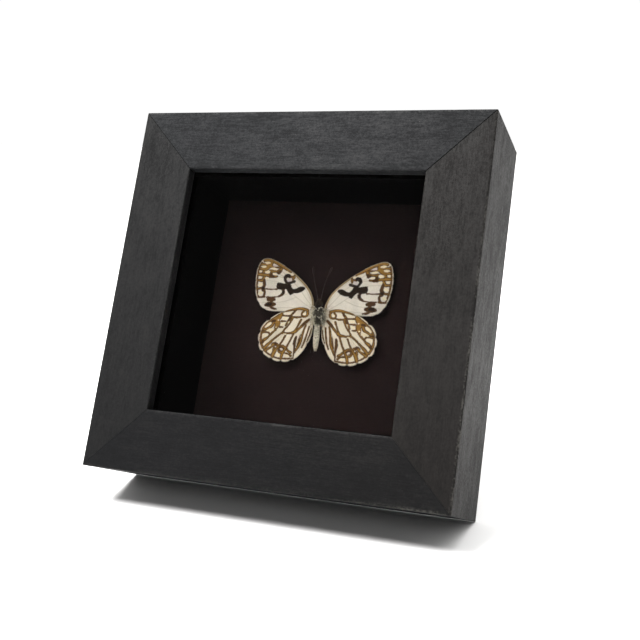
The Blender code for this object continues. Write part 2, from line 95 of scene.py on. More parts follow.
def add_softbox(name, place, aim_height, size, power):
    """A rectangular light that points at this height over the frame's middle."""
    data = bpy.data.lights.new(name, "AREA")
    data.shape = "RECTANGLE"
    data.size, data.size_y = size
    data.energy = power
    light = bpy.data.objects.new(name, data)
    bpy.context.scene.collection.objects.link(light)
    light.location = place
    aim = Vector((0, 0, aim_height)) - Vector(place)
    light.rotation_euler = aim.to_track_quat("-Z", "Y").to_euler()


# ---- finishes ---------------------------------------------------------------------------


class Value:
    """A socket of a finish, with arithmetic: an expression on values adds its Math nodes."""

    def __init__(self, finish, socket):
        self.finish = finish
        self.socket = socket

    def math(self, operation, *terms):
        return self.finish.node("Math", {"operation": operation}, dict(enumerate(terms)))

    def __add__(self, other):
        return self.math("ADD", self, other)

    def __sub__(self, other):
        return self.math("SUBTRACT", self, other)

    def __rsub__(self, other):
        return self.math("SUBTRACT", other, self)

    def __mul__(self, other):
        return self.math("MULTIPLY", self, other)

    __radd__ = __add__
    __rmul__ = __mul__

    def wave(self):
        return self.math("SINE", self)

    def above(self, low, high):
        """0 below low, 1 above high, smooth between them; low may be the greater."""
        return self.finish.node(
            "MapRange", {"interpolation_type": "SMOOTHSTEP"},
            {"Value": self, "From Min": low, "From Max": high},
        )


class Finish:
    """A material, built from expressions on its sockets."""

    def __init__(self, name, colour=(0.5, 0.5, 0.5), **constants):
        self.material = bpy.data.materials.new(name)
        self.material.use_nodes = True
        self.tree = self.material.node_tree
        self.surface = self.tree.nodes["Principled BSDF"]
        self.surface.inputs["Base Color"].default_value = (*colour, 1.0)
        for socket, value in constants.items():
            self.surface.inputs[socket.replace("_", " ")].default_value = value

    def join(self, value, socket):
        if isinstance(value, Value):
            self.tree.links.new(value.socket, socket)
        elif isinstance(value, tuple) and socket.type == "RGBA":
            socket.default_value = (*value, 1.0)
        else:
            socket.default_value = value

    def node(self, kind, settings=None, sockets=None, output=0):
        made = self.tree.nodes.new("ShaderNode" + kind)
        for name, value in (settings or {}).items():
            setattr(made, name, value)
        for name, value in (sockets or {}).items():
            self.join(value, made.inputs[name])
        return Value(self, made.outputs[output])

    def attribute(self, name):
        return self.node("Attribute", {"attribute_name": name}, output="Fac")

    def mapped(self, scale=(1.0, 1.0, 1.0), turn=(0.0, 0.0, 0.0), shift=(0.0, 0.0, 0.0), source="Object"):
        where = self.node("TexCoord", output=source)
        return self.node(
            "Mapping", None, {"Vector": where, "Scale": scale, "Rotation": turn, "Location": shift}
        )

    def split(self, vector):
        return [self.node("SeparateXYZ", None, {"Vector": vector}, axis) for axis in "XYZ"]

    def noise(self, vector, scale, detail=3.0, rough=0.55):
        return self.node(
            "TexNoise", None,
            {"Vector": vector, "Scale": scale, "Detail": detail, "Roughness": rough},
        )

    def cells(self, vector, scale, feature="F1"):
        return self.node("TexVoronoi", {"feature": feature}, {"Vector": vector, "Scale": scale}, "Distance")

    def mix(self, share, first, second):
        return self.node(
            "Mix", {"data_type": "RGBA"}, {"Factor": share, 6: first, 7: second}, 2
        )

    def stretch(self, vector, factors):
        return self.node("VectorMath", {"operation": "MULTIPLY"}, {0: vector, 1: factors})

    def set(self, **values):
        for name, value in values.items():
            self.join(value, self.surface.inputs[name.replace("_", " ")])
        return self

    def bump(self, height, depth, strength=1.0):
        """Relief whose height runs from 0 to 1 over the depth, in metres."""
        relief = self.node(
            "Bump", None, {"Strength": strength, "Distance": depth, "Height": height}, "Normal"
        )
        return self.set(Normal=relief)


def toned(tint, share):
    return tuple(part * share for part in tint)


def painted_wood(name, quarter, end_tints_with_painted_shade, shift):
    """Thin black paint over fine grain that runs along the rail, paler on the arrises that a vertex
    attribute marks: some wear of the paint, and a painted edge highlight.
    Each end of the rail has its own colour: painted light and shade, lighter on the top rail and darker
    toward the bottom."""
    paint = Finish(name, Specular_IOR_Level=0.09)
    place = paint.mapped(turn=(LEAN, -math.radians(90 * quarter), 0), shift=shift)
    end = (paint.split(place)[0] - shift[0]).above(-0.06, 0.06)
    grain = paint.noise(paint.stretch(place, (1.0, 12.0, 12.0)), 110.0, 5.0, 0.7)
    ticks = paint.noise(paint.stretch(place, (1.0, 6.0, 6.0)), 420.0, 2.0, 0.6)
    cloud = paint.noise(paint.stretch(place, (0.5, 1.0, 1.0)), 190.0, 4.0, 0.65)
    speck = paint.noise(place, 1500.0, 2.0, 0.6)
    broad = paint.noise(place, 30.0, 2.0, 0.5)
    uneven = grain - 0.5 + (ticks - 0.5) * 0.9 + (cloud - 0.5) * 0.9 + (speck - 0.5) * 1.1
    shade = (uneven + (broad - 0.5) * 0.5 + 0.5).above(0.05, 0.95)
    # Painted light and shade: the colour runs from one end's colour to the other along the rail
    colour = paint.mix(end, *end_tints_with_painted_shade)
    colour = paint.mix((0.5 - shade).above(0.0, 0.5) * 0.4, colour, (0.0012, 0.0012, 0.0012))
    colour = paint.mix((shade - 0.5).above(0.0, 0.5) * 0.12, colour, (0.030, 0.028, 0.026))
    # Paler paint on the marked arrises: some wear, and a painted edge highlight
    rub_and_highlight = paint.attribute("arris_wear_and_highlight") * (grain * 0.6 + speck * 0.8 + cloud * 0.5).above(0.85, 1.15)
    colour = paint.mix(rub_and_highlight * 0.7, colour, (0.10, 0.095, 0.085))
    paint.set(Base_Color=colour, Roughness=0.58 - (shade - 0.5) * 0.22)
    return paint.bump(grain * 0.5 + ticks * 0.4 + cloud * 0.4 + speck * 0.2, 0.00016, 0.45)


def black_board(name, tint, weave, depth, roughness):
    """Dark card or board: fibres pressed flat, with a fine tooth and a few paler ones."""
    board = Finish(name, Specular_IOR_Level=0.06)
    place = board.mapped(turn=(LEAN, 0, 0))
    tooth = board.noise(place, weave, 3.0, 0.7)
    fibre = board.noise(board.stretch(place, (1.0, 1.0, 5.0)), weave * 0.3, 4.0, 0.7)
    cloud = board.noise(place, 45.0, 3.0, 0.5)
    shade = (tooth - 0.5) * 0.6 + (fibre - 0.5) * 0.6 + (cloud - 0.5) * 0.4 + 0.5
    colour = board.mix(
        shade.above(0.2, 0.8), toned(tint, 0.72), toned(tint, 1.3)
    )
    board.set(Base_Color=colour, Roughness=roughness + (tooth - 0.5) * 0.15)
    return board.bump(tooth * 0.6 + fibre * 0.6, depth, 0.7)


def leathered(name, tint):
    """Black covering paper with an embossed leather grain."""
    paper = Finish(name, Specular_IOR_Level=0.45)
    place = paper.mapped(turn=(LEAN, 0, 0))
    wander = paper.noise(place, 300.0, 2.0)
    pebbles = paper.cells(place, 900.0, "DISTANCE_TO_EDGE").above(0.0, 0.25)
    small = paper.cells(place, 2100.0).above(0.0, 0.8)
    shade = pebbles * 0.6 + wander * 0.4
    colour = paper.mix(shade, toned(tint, 0.6), toned(tint, 1.35))
    paper.set(Base_Color=colour, Roughness=0.62 - pebbles * 0.16 + (wander - 0.5) * 0.1)
    return paper.bump(pebbles * 0.8 + small * 0.2, 0.00012, 0.7)


def plated_steel(name):
    """Nickel-plated steel, drawn, with a few dull patches."""
    steel = Finish(name, Metallic=1.0)
    place = steel.mapped(turn=(LEAN, 0, 0))
    drawn = steel.noise(steel.stretch(place, (1.0, 1.0, 0.06)), 3800.0, 2.0, 0.6)
    cloud = steel.noise(place, 170.0, 4.0, 0.6)
    dull = cloud.above(0.5, 0.75)
    colour = steel.mix(drawn * 0.5 + dull * 0.4, (0.45, 0.44, 0.42), (0.25, 0.24, 0.22))
    steel.set(Base_Color=colour, Roughness=0.24 + drawn * 0.14 + dull * 0.22)
    return steel.bump(drawn + cloud * 0.4, 0.00003, 0.5)


def clear_glass(name):
    glass = Finish(
        name, (1.0, 1.0, 1.0), Transmission_Weight=1.0, IOR=1.5, Roughness=0.0, Specular_IOR_Level=0.5
    )
    place = glass.mapped(turn=(LEAN, 0, 0))
    smear = glass.noise(glass.stretch(place, (1.0, 1.0, 0.35)), 60.0, 4.0, 0.6)
    return glass.set(Roughness=smear.above(0.55, 0.8) * 0.02)


def cork_finish(name):
    cork = Finish(name, Specular_IOR_Level=0.3)
    place = cork.mapped(turn=(LEAN, 0, 0))
    grains = cork.cells(place, 1500.0)
    flecks = cork.noise(place, 2400.0, 3.0, 0.7)
    colour = cork.mix(flecks.above(0.35, 0.65), (0.19, 0.105, 0.048), (0.42, 0.27, 0.14))
    cork.set(Base_Color=colour, Roughness=0.85 + (grains - 0.4) * 0.1)
    return cork.bump(grains + flecks, 0.0002, 0.6)


WHITE_SCALES = (0.80, 0.735, 0.62)
HINDWING_GROUND = (0.82, 0.735, 0.57)
CREAM_SCALES = (0.82, 0.72, 0.50)
OCHRE_SCALES = (0.34, 0.175, 0.032)
BROWN_SCALES = (0.085, 0.036, 0.007)
UMBER_SCALES = (0.075, 0.032, 0.010)
BLACK_SCALES = (0.016, 0.008, 0.004)
LILAC_SCALES = (0.60, 0.52, 0.49)


def wing_scales(name, ground):
    """Scaled membrane, painted by distance (mm) to each kind of mark."""
    wing = Finish(name, Specular_IOR_Level=0.1)
    place = wing.mapped()
    rows = wing.mapped(scale=(150.0, 95.0, 1.0), source="UV")
    powder = wing.noise(place, 5200.0, 2.0, 0.6)
    patch = wing.noise(place, 900.0, 3.0, 0.6)
    broad = wing.noise(place, 190.0, 3.0, 0.5)
    scales = wing.cells(rows, 1.0)
    ragged = (powder - 0.5) * 0.5 + (patch - 0.5) * 0.35

    def covered(mark, swell, soft=0.16):
        return (wing.attribute(mark) + ragged * 1.3 - swell).above(soft, -soft)

    colour = wing.mix(broad.above(0.35, 0.7), ground, toned(ground, 0.86))
    costa = (wing.attribute("costa") + ragged * 0.3).above(0.35, 0.75)
    colour = wing.mix(costa, colour, (0.26, 0.17, 0.07))
    colour = wing.mix(wing.attribute("root") * 0.45 * patch.above(0.3, 0.6), colour, (0.20, 0.15, 0.09))
    veins = (wing.attribute("vein") + ragged * 0.15).above(0.2, -0.05)
    colour = wing.mix(veins * 0.7, colour, (0.36, 0.29, 0.19))
    brown = wing.mix(patch.above(0.38, 0.66), OCHRE_SCALES, toned(OCHRE_SCALES, 0.75))
    brown = wing.mix((wing.attribute("ochre") + ragged * 0.2).above(-0.36, -0.08), brown, BROWN_SCALES)
    colour = wing.mix(covered("ochre", 0.14), colour, brown)
    colour = wing.mix(covered("cream", 0.04), colour, CREAM_SCALES)
    colour = wing.mix(covered("umber", 0.2), colour, UMBER_SCALES)
    colour = wing.mix(covered("black", 0.28), colour, BLACK_SCALES)
    colour = wing.mix(covered("lilac", 0.02), colour, LILAC_SCALES)
    grey = wing.mix(patch, (0.30, 0.22, 0.12), (0.62, 0.54, 0.40))
    colour = wing.mix((wing.attribute("edge") + ragged * 0.3).above(0.3, 0.08) * 0.7, colour, grey)
    colour = wing.mix((scales - 0.35) * 0.22 + (powder - 0.5) * 0.16, colour, (0.12, 0.08, 0.045))
    wing.set(Base_Color=colour, Roughness=0.72 + (scales - 0.5) * 0.1)
    ridge = wing.attribute("vein").above(0.3, 0.0)
    return wing.bump(ridge * 1.2 + scales * 0.25 + powder * 0.2 + patch * 0.2, 0.00012, 0.7)


def hair_finish(name, dark, light):
    hair = Finish(name, Specular_IOR_Level=0.1)
    tone = hair.attribute("tone")
    fleck = hair.noise(hair.mapped(), 3000.0, 2.0)
    hair.set(Base_Color=hair.mix(tone * 0.8 + fleck * 0.2, dark, light))
    return hair.set(Roughness=0.75 - 0.15 * fleck)


def chitin(name, dark, light, bands=0.0, pale_from=0.0):
    """Horny skin, dark up to a share of the part's own length; bands adds paler rings along it."""
    skin = Finish(name, Specular_IOR_Level=0.25)
    mottled = skin.noise(skin.mapped(), 2200.0, 3.0, 0.6)
    along = skin.split(skin.mapped(source="UV"))[1]
    shade = mottled.above(0.3, 0.7)
    if bands:
        shade = shade * 0.4 + (along * bands).wave().above(0.2, 0.7) * 0.6
    if pale_from:
        shade = shade * along.above(pale_from - 0.05, pale_from + 0.05)
    skin.set(Base_Color=skin.mix(shade, dark, light), Roughness=0.5 - shade * 0.12)
    return skin.bump(mottled + (along * 260.0).wave() * 0.2, 0.00004, 0.6)


def eye_finish(name):
    eye = Finish(name, Specular_IOR_Level=0.6, Coat_Weight=0.3, Coat_Roughness=0.15)
    facets = eye.cells(eye.mapped(), 16000.0)
    colour = eye.mix(facets, (0.05, 0.028, 0.014), (0.012, 0.008, 0.006))
    eye.set(Base_Color=colour, Roughness=0.22 + facets * 0.2)
    return eye.bump(1 - facets, 0.00002, 0.6)


# ---- modelling ----------------------------------------------------------------------------


def alone(piece):
    """Leave only this piece selected and active."""
    bpy.ops.object.select_all(action="DESELECT")
    piece.select_set(True)
    bpy.context.view_layer.objects.active = piece


def shaped_grid(name, columns, rows, place_of, closed=False):
    """A grid primitive whose corners are moved to place_of(u, v), u and v running 0 to 1.
    A closed one has its seam and poles welded."""
    bpy.ops.object.select_all(action="DESELECT")
    bpy.ops.mesh.primitive_grid_add(x_subdivisions=columns, y_subdivisions=rows, size=2.0)
    piece = bpy.context.active_object
    piece.name = name
    piece.data.name = name
    flat = np.empty(len(piece.data.vertices) * 3)
    piece.data.vertices.foreach_get("co", flat)
    spread = (flat.reshape(-1, 3)[:, :2] + 1) / 2
    moved = np.array([place_of(u, v) for u, v in spread], float)
    piece.data.vertices.foreach_set("co", moved.ravel())
    if closed:
        alone(piece)
        bpy.ops.object.mode_set(mode="EDIT")
        bpy.ops.mesh.select_all(action="SELECT")
        bpy.ops.mesh.remove_doubles(threshold=1e-7)
        bpy.ops.mesh.normals_make_consistent(inside=False)
        bpy.ops.object.mode_set(mode="OBJECT")
    return piece


def smoothed(points, steps=5):
    """A Catmull-Rom line through the points, with all their numbers eased alike."""
    points = np.array(points, float)
    if len(points) < 3:
        return points
    ends = np.vstack([2 * points[0] - points[1], points, 2 * points[-1] - points[-2]])
    line = []
    for before, start, end, after in zip(ends, ends[1:], ends[2:], ends[3:]):
        for step in range(steps):
            t = step / steps
            line.append(
                0.5 * (
                    2 * start + (end - before) * t
                    + (2 * before - 5 * start + 4 * end - after) * t * t
                    + (3 * start - before - 3 * end + after) * t ** 3
                )
            )
    line.append(points[-1])
    return np.array(line)


def finish_piece(piece, finish, body, slot, *nodes):
    """Give a piece its finish and its body, and hide the nodes it stands for.
    The slot argument is not used.
    """
    piece.data.materials.clear()
    piece.data.materials.append(finish.material)
    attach(piece, body)
    if nodes:
        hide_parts(*nodes)
    return piece


def close_ends(piece):
    """Cap a piece's open ends and turn its faces outwards."""
    alone(piece)
    bpy.ops.object.mode_set(mode="EDIT")
    bpy.ops.mesh.select_all(action="DESELECT")
    bpy.ops.mesh.select_non_manifold(extend=False)
    bpy.ops.mesh.edge_face_add()
    bpy.ops.mesh.select_all(action="SELECT")
    bpy.ops.mesh.normals_make_consistent(inside=False)
    bpy.ops.object.mode_set(mode="OBJECT")


def smooth_shade(piece, degrees):
    alone(piece)
    bpy.ops.object.shade_smooth_by_angle(angle=math.radians(degrees))


# ---- the frame's rails --------------------------------------------------------------------

ARRIS = 0.28 * MM
RAIL_COLUMNS = 260
# How open each mitre is, at the start and the end of a rail (mm)
MITRE_OPEN = {
    "bottom": (0.06, 0.04), "left": (0.10, 0.06), "top": (0.20, 0.10), "right": (0.04, 0.20),
}


def rail_section():
    """The moulding's outline as (distance from the frame's middle, depth), with eased arrises."""
    outer, sight = SIDE / 2, SIDE / 2 - RAIL_WIDTH
    rebate = sight + REBATE_WIDTH
    front, back, lip = -DEPTH, 0.0, LIP_DEPTH - DEPTH
    corners = [
        (sight, front, ARRIS, 5), (outer, front, ARRIS, 5), (outer, back, 0.3 * MM, 2),
        (rebate, back, 0.2 * MM, 1), (rebate, lip, 0.0, 0), (sight, lip, 0.15 * MM, 1),
    ]
    runs = [26, 30, 12, 22, 6, 5]
    eased = []
    for index, (x, y, radius, steps) in enumerate(corners):
        before = Vector(corners[index - 1][:2]) - Vector((x, y))
        after = Vector(corners[(index + 1) % len(corners)][:2]) - Vector((x, y))
        start = Vector((x, y)) + before.normalized() * radius
        end = Vector((x, y)) + after.normalized() * radius
        if not steps:
            eased.append([Vector((x, y))])
            continue
        centre = start + end - Vector((x, y))
        quarter = (math.radians(90) * step / (steps + 1) for step in range(steps + 2))
        eased.append([
            centre + (start - centre) * math.cos(angle) + (end - centre) * math.sin(angle)
            for angle in quarter
        ])
    outline = []
    for index, turn in enumerate(eased):
        outline += turn
        following = eased[(index + 1) % len(eased)][0]
        count = runs[index]
        outline += [turn[-1].lerp(following, step / count) for step in range(1, count)]
    outline.append(outline[0].copy())
    return outline


SECTION = rail_section()


def highlight_and_wear_share(name, along, outside):
    """How pale an arris is painted: a little wear on every arris, and a painted edge highlight on the outer
    arrises toward the frame's lower right corner.
    """
    if not outside:
        return 0.12
    if name == "right":
        return 0.3 + 0.7 * min(1.0, max(0.0, 0.6 - along))
    if name == "bottom":
        return 0.2 + 0.8 * min(1.0, max(0.0, (along - 0.4) * 2))
    return 0.25


def add_rail(name, quarter):
    """One rail: its section drawn along it to the mitres, nicked along both show arrises, and its arrises
    marked to be painted paler, with wear and a painted edge highlight.
    """
    turn = Matrix.Rotation(math.radians(90 * quarter), 4, "Y")
    place = TO_WORLD @ Matrix.Translation((0, 0, SIDE / 2)) @ turn
    starts, ends = MITRE_OPEN[name]
    outer, sight = SIDE / 2, SIDE / 2 - RAIL_WIDTH
    last = len(SECTION) - 1

    def position(u, v):
        out, depth = SECTION[round(v * last)]
        gap = starts * (1 - u) + ends * u
        reach = out - gap * MM
        x = reach * (2 * u - 1)
        seed = Vector((x * 1000, depth * 1000, out * 1000 + 500 * quarter))
        soft = noise.noise(seed * 0.05) * 0.035 + noise.noise(seed * 0.21) * 0.015
        near_front = max(0.0, 1 - (depth + DEPTH) / ARRIS)
        near_edge = max(0.0, 1 - min(outer - out, out - sight) / ARRIS)
        nick = max(0.0, noise.noise(Vector((x * 900, out * 80, quarter * 7.0))) - 0.12)
        wear = near_front * near_edge * (0.05 + nick * 0.55)
        toward = 1 if out > (outer + sight) / 2 else -1
        return place @ Vector((x, depth + (soft + wear) * MM, -(out - toward * wear * MM)))

    piece = shaped_grid("frame_rail_" + name, RAIL_COLUMNS, last, position, closed=True)
    close_ends(piece)
    smooth_shade(piece, 35.0)
    inverse = place.inverted()
    # How pale each arris is painted: wear, and a painted edge highlight strongest at the lower right
    arris_wear_and_highlight = piece.data.attributes.new("arris_wear_and_highlight", "FLOAT", "POINT")
    for index, corner in enumerate(piece.data.vertices):
        x, depth, out = inverse @ corner.co
        out = -out
        front = 1 - min(1.0, (depth + DEPTH) / (0.7 * MM))
        edge = 1 - min(1.0, min(abs(outer - out), abs(out - sight)) / (0.7 * MM))
        side = 1 - min(1.0, abs(outer - out) / (0.5 * MM))
        back = 1 - min(1.0, abs(depth) / (1.0 * MM))
        strip = math.exp(-((depth + 7.0 * MM) / (0.35 * MM)) ** 2) if name == "right" else 0.0
        most = highlight_and_wear_share(name, x / outer, out > (outer + sight) / 2)
        arris_wear_and_highlight.data[index].value = max(front * edge * most, side * back * 0.3, side * strip * 0.5)
    return piece


# The paint's colour at the start and the end of each rail, with painted light and shade: lighter on the top
# rail, darker on the bottom rail and toward the right rail's lower end
RAIL_TINTS_WITH_PAINTED_SHADE = {
    "bottom": ((0.0042, 0.0043, 0.0048), (0.0032, 0.0031, 0.0032)),
    "left": ((0.0078, 0.0078, 0.0079), (0.0050, 0.0050, 0.0053)),
    "top": ((0.0098, 0.0101, 0.0108), (0.0106, 0.0112, 0.0122)),
    "right": ((0.0046, 0.0036, 0.0032), (0.0080, 0.0072, 0.0066)),
}


def build_rails():
    for quarter, name in enumerate(("bottom", "left", "top", "right")):
        piece = add_rail(name, quarter)
        shift = (quarter * 0.31, 0.0, 0.17 * quarter)
        finish = painted_wood("black paint, %s rail" % name, quarter, RAIL_TINTS_WITH_PAINTED_SHADE[name], shift)
        finish_piece(piece, finish, "frame", "painted_wood", "rail_" + name)


# ---- the butterfly's wings ----------------------------------------------------------------

# Outlines and marks are drawn for the right wings, in mm from the body's axis: across, up.
# Each outline starts at the wing's front root, rounds the margin and ends at the back root.
FOREWING_EDGE = (
    (1.8, 2.8), (2.2, 5.2), (3.6, 8.0), (5.6, 10.3), (8.4, 12.7), (12.0, 15.2),
    (16.0, 17.4), (20.0, 19.1), (22.8, 19.6), (24.8, 18.6), (25.8, 15.8), (26.0, 12.2),
    (25.5, 8.6), (24.6, 5.3), (22.8, 2.4), (20.5, 0.8), (17.5, 0.3), (13.0, 0.5),
    (7.0, 0.4), (2.6, 0.2),
)
HINDWING_EDGE = (
    (2.3, 1.4), (4.5, 2.4), (7.5, 2.6), (11.0, 1.7), (14.5, 0.3), (17.5, -1.6),
    (20.2, -4.0), (21.6, -7.0), (21.7, -10.4), (20.4, -13.6), (17.6, -15.8),
    (14.4, -17.1), (11.2, -17.4), (8.2, -16.8), (5.4, -14.8), (3.4, -11.6),
    (2.0, -8.4), (1.6, -5.0), (2.1, -1.6),
)
FOREWING_ROOT = ((1.5, 2.7), (1.5, 0.3))
HINDWING_ROOT = ((1.5, 1.3), (1.4, -1.8))
# A wing's set: across, up (mm) and turn (degrees)
WING_SET = {
    "forewing_right": (0.0, 0.0, 0.0), "forewing_left": (0.9, 0.6, 4.0),
    "hindwing_right": (0.0, 0.0, 0.0), "hindwing_left": (0.1, 0.3, 3.5),
}
# Veins, from the root outwards; the margin is notched a little where each one ends
FOREWING_VEINS = (
    ((1.7, 2.4), (3.4, 5.6), (6.4, 9.6), (10.2, 12.8), (15.0, 15.9)),
    ((1.8, 2.2), (5.0, 5.6), (8.6, 9.4), (11.6, 11.7)),
    ((1.8, 1.8), (5.5, 3.8), (9.6, 6.4), (12.4, 8.3), (13.6, 10.2)),
    ((11.6, 11.7), (15.5, 13.3), (20.0, 15.0), (25.7, 16.2)),
    ((11.6, 11.7), (16.0, 15.0), (21.0, 17.2), (24.6, 18.2)),
    ((13.6, 10.2), (17.5, 11.0), (22.0, 11.3), (25.9, 11.2)),
    ((13.6, 10.2), (12.6, 11.4), (11.6, 11.7)),
    ((13.4, 12.6), (18.0, 13.0), (22.0, 13.6), (25.9, 13.8)),
    ((12.6, 8.5), (16.5, 8.3), (21.5, 8.1), (25.5, 8.2)),
    ((11.0, 7.4), (15.5, 5.7), (20.0, 5.2), (24.5, 5.1)),
    ((8.8, 5.9), (13.5, 3.9), (18.0, 3.3), (23.2, 2.9)),
    ((1.8, 1.2), (7.0, 1.9), (12.0, 1.8), (17.5, 1.2), (20.6, 0.9)),
)
HINDWING_VEINS = (
    ((1.8, 0.6), (4.5, 1.0), (8.8, 1.2), (13.5, 0.4)),
    ((1.9, 0.0), (5.5, -0.8), (10.0, -1.2), (14.0, -0.9), (18.6, -2.7)),
    ((10.0, -1.2), (11.6, -3.4), (14.2, -5.0), (17.5, -6.2), (21.5, -7.2)),
    ((11.6, -3.4), (12.4, -6.2), (15.5, -8.6), (18.2, -10.2), (21.4, -11.2)),
    ((12.4, -6.2), (12.2, -7.4), (14.4, -10.2), (17.0, -12.4), (19.6, -14.4)),
    ((8.2, -6.4), (10.4, -7.2), (12.2, -7.4)),
    ((1.9, -0.8), (4.6, -2.9), (6.8, -5.2), (8.2, -6.4)),
    ((10.6, -7.2), (12.4, -10.6), (14.0, -13.2), (15.6, -16.6)),
    ((8.2, -6.4), (9.4, -10.0), (11.0, -13.6), (11.8, -17.2)),
    ((1.8, -1.2), (4.4, -4.4), (6.4, -9.0), (7.4, -13.4), (8.2, -16.6)),
    ((1.7, -1.6), (3.0, -5.4), (4.4, -9.6), (5.6, -13.4)),
    ((1.6, -2.0), (2.2, -6.0), (3.2, -10.2)),
)
# Brush marks: across, up and half width (mm) along each stroke
FOREWING_MARKS = {
    "ochre": (
        ((12.6, 15.0, 0.4), (15.7, 16.7, 0.55), (18.7, 18.2, 0.65), (21.2, 19.0, 0.7), (23.5, 18.8, 0.6)),
        ((16.2, 16.3, 0.35), (16.7, 15.4, 0.7), (17.1, 14.5, 0.6)),
        ((17.5, 15.0, 0.4), (19.2, 14.8, 0.45), (20.6, 15.0, 0.4)),
        ((16.9, 16.4, 0.3), (18.9, 16.4, 0.25), (20.8, 16.6, 0.5)),
        ((20.6, 18.2, 0.5), (20.9, 17.2, 0.8), (21.8, 16.3, 0.9), (22.6, 15.6, 0.8), (24.6, 15.5, 0.5)),
        ((22.2, 17.3, 0.45), (24.4, 17.2, 0.5)),
        ((20.0, 14.2, 0.6), (20.3, 13.3, 0.65), (21.9, 13.3, 0.5), (23.5, 13.4, 0.6), (25.0, 13.4, 0.5)),
        ((22.8, 14.6, 0.5), (23.3, 14.4, 0.5)),
        ((17.6, 13.0, 0.3), (19.0, 12.8, 0.4), (20.4, 12.8, 0.4)),
        ((22.5, 12.6, 0.4), (22.9, 11.8, 0.6), (23.2, 11.2, 0.5), (25.2, 11.3, 0.35)),
        ((22.6, 8.5, 0.4), (23.7, 8.2, 0.35), (25.2, 8.1, 0.3)),
        ((24.7, 17.9, 0.25), (25.2, 15.6, 0.25), (25.3, 12.2, 0.25), (24.9, 8.8, 0.25),
         (24.3, 6.4, 0.22), (23.6, 4.9, 0.15)),
        ((21.4, 5.2, 0.3), (22.6, 5.0, 0.25), (23.9, 5.0, 0.2)),
        ((11.0, 13.7, 0.3), (11.0, 12.9, 0.42), (11.3, 12.2, 0.3)),
        ((11.6, 13.2, 0.35), (12.8, 13.0, 0.3)),
        ((15.6, 5.6, 0.16), (17.5, 5.3, 0.12), (20.5, 5.15, 0.14)),
        ((16.8, 8.25, 0.16), (19.0, 8.1, 0.1), (21.6, 8.15, 0.22)),
    ),
    "cream": (
        ((21.4, 17.9, 0.3), (22.4, 17.9, 0.42), (23.2, 18.0, 0.2)),
        ((22.8, 16.4, 0.35), (23.6, 16.35, 0.42), (24.2, 16.4, 0.2)),
        ((21.0, 14.5, 0.35), (21.7, 14.4, 0.5), (22.4, 14.4, 0.3)),
        ((24.1, 14.6, 0.22), (24.7, 14.6, 0.25)),
        ((21.2, 12.1, 0.3), (21.9, 12.1, 0.35)),
        ((23.9, 12.3, 0.2), (24.5, 12.3, 0.25)),
        ((18.3, 15.6, 0.3), (19.3, 15.8, 0.38), (20.2, 15.9, 0.2)),
        ((18.0, 13.7, 0.25), (18.8, 13.8, 0.32), (19.4, 14.0, 0.15)),
        ((22.9, 9.7, 0.35), (23.7, 9.7, 0.55), (24.4, 9.4, 0.3)),
        ((22.6, 6.8, 0.3), (23.2, 6.6, 0.5), (23.7, 6.2, 0.35)),
        ((11.6, 14.0, 0.15), (12.6, 14.2, 0.25), (14.2, 14.9, 0.3)),
    ),
    "umber": (
        ((16.7, 15.0, 0.3), (17.0, 14.4, 0.4), (17.8, 14.5, 0.2)),
        ((20.0, 13.9, 0.25), (20.2, 13.1, 0.35), (18.9, 12.9, 0.15)),
        ((22.5, 11.4, 0.35), (22.3, 10.4, 0.5), (22.0, 9.5, 0.42), (22.4, 8.5, 0.62), (22.3, 7.8, 0.5)),
        ((22.3, 7.8, 0.4), (21.5, 7.0, 0.3), (21.6, 6.0, 0.3), (21.9, 5.3, 0.2)),
        ((17.2, 4.4, 0.4), (18.3, 4.5, 0.65), (19.6, 4.5, 0.6)),
        ((16.8, 2.7, 0.4), (17.8, 2.6, 0.72), (19.2, 2.5, 0.78), (20.4, 2.3, 0.35)),
        ((18.2, 4.2, 0.5), (18.4, 3.0, 0.5)),
        ((15.9, 1.0, 0.08), (17.2, 1.2, 0.28), (18.4, 1.6, 0.1)),
        ((14.9, 8.8, 0.35), (14.3, 8.0, 0.4), (14.1, 7.2, 0.42), (14.6, 6.4, 0.38), (15.5, 5.8, 0.22)),
    ),
    "black": (
        ((6.6, 9.2, 0.35), (7.7, 8.8, 0.75), (9.1, 8.2, 0.62), (10.5, 7.9, 0.5), (11.1, 7.5, 0.6),
         (11.3, 6.8, 0.15)),
        ((11.3, 7.9, 0.85), (12.2, 8.9, 0.8), (12.8, 9.9, 0.85), (13.1, 10.6, 0.55)),
        ((13.1, 9.8, 0.75), (14.6, 9.4, 0.9), (16.0, 9.5, 1.0)),
        ((16.3, 10.1, 0.35), (16.7, 10.4, 0.15)),
        ((14.2, 7.6, 0.2), (14.3, 7.0, 0.25)),
        ((12.9, 13.5, 0.4), (13.7, 13.4, 0.5), (14.3, 12.7, 0.4), (14.2, 11.9, 0.25), (13.6, 11.2, 0.35)),
        ((10.6, 11.5, 0.3), (11.4, 11.15, 0.25), (12.4, 10.9, 0.3), (13.3, 10.9, 0.4)),
        ((22.1, 8.4, 0.2), (22.4, 8.3, 0.3)),
        ((18.4, 2.7, 0.3), (19.6, 2.5, 0.3)),
    ),
    "lilac": (((12.1, 12.1, 0.5), (13.0, 11.7, 0.42)), ((18.6, 16.9, 0.25), (19.6, 17.0, 0.3))),
}
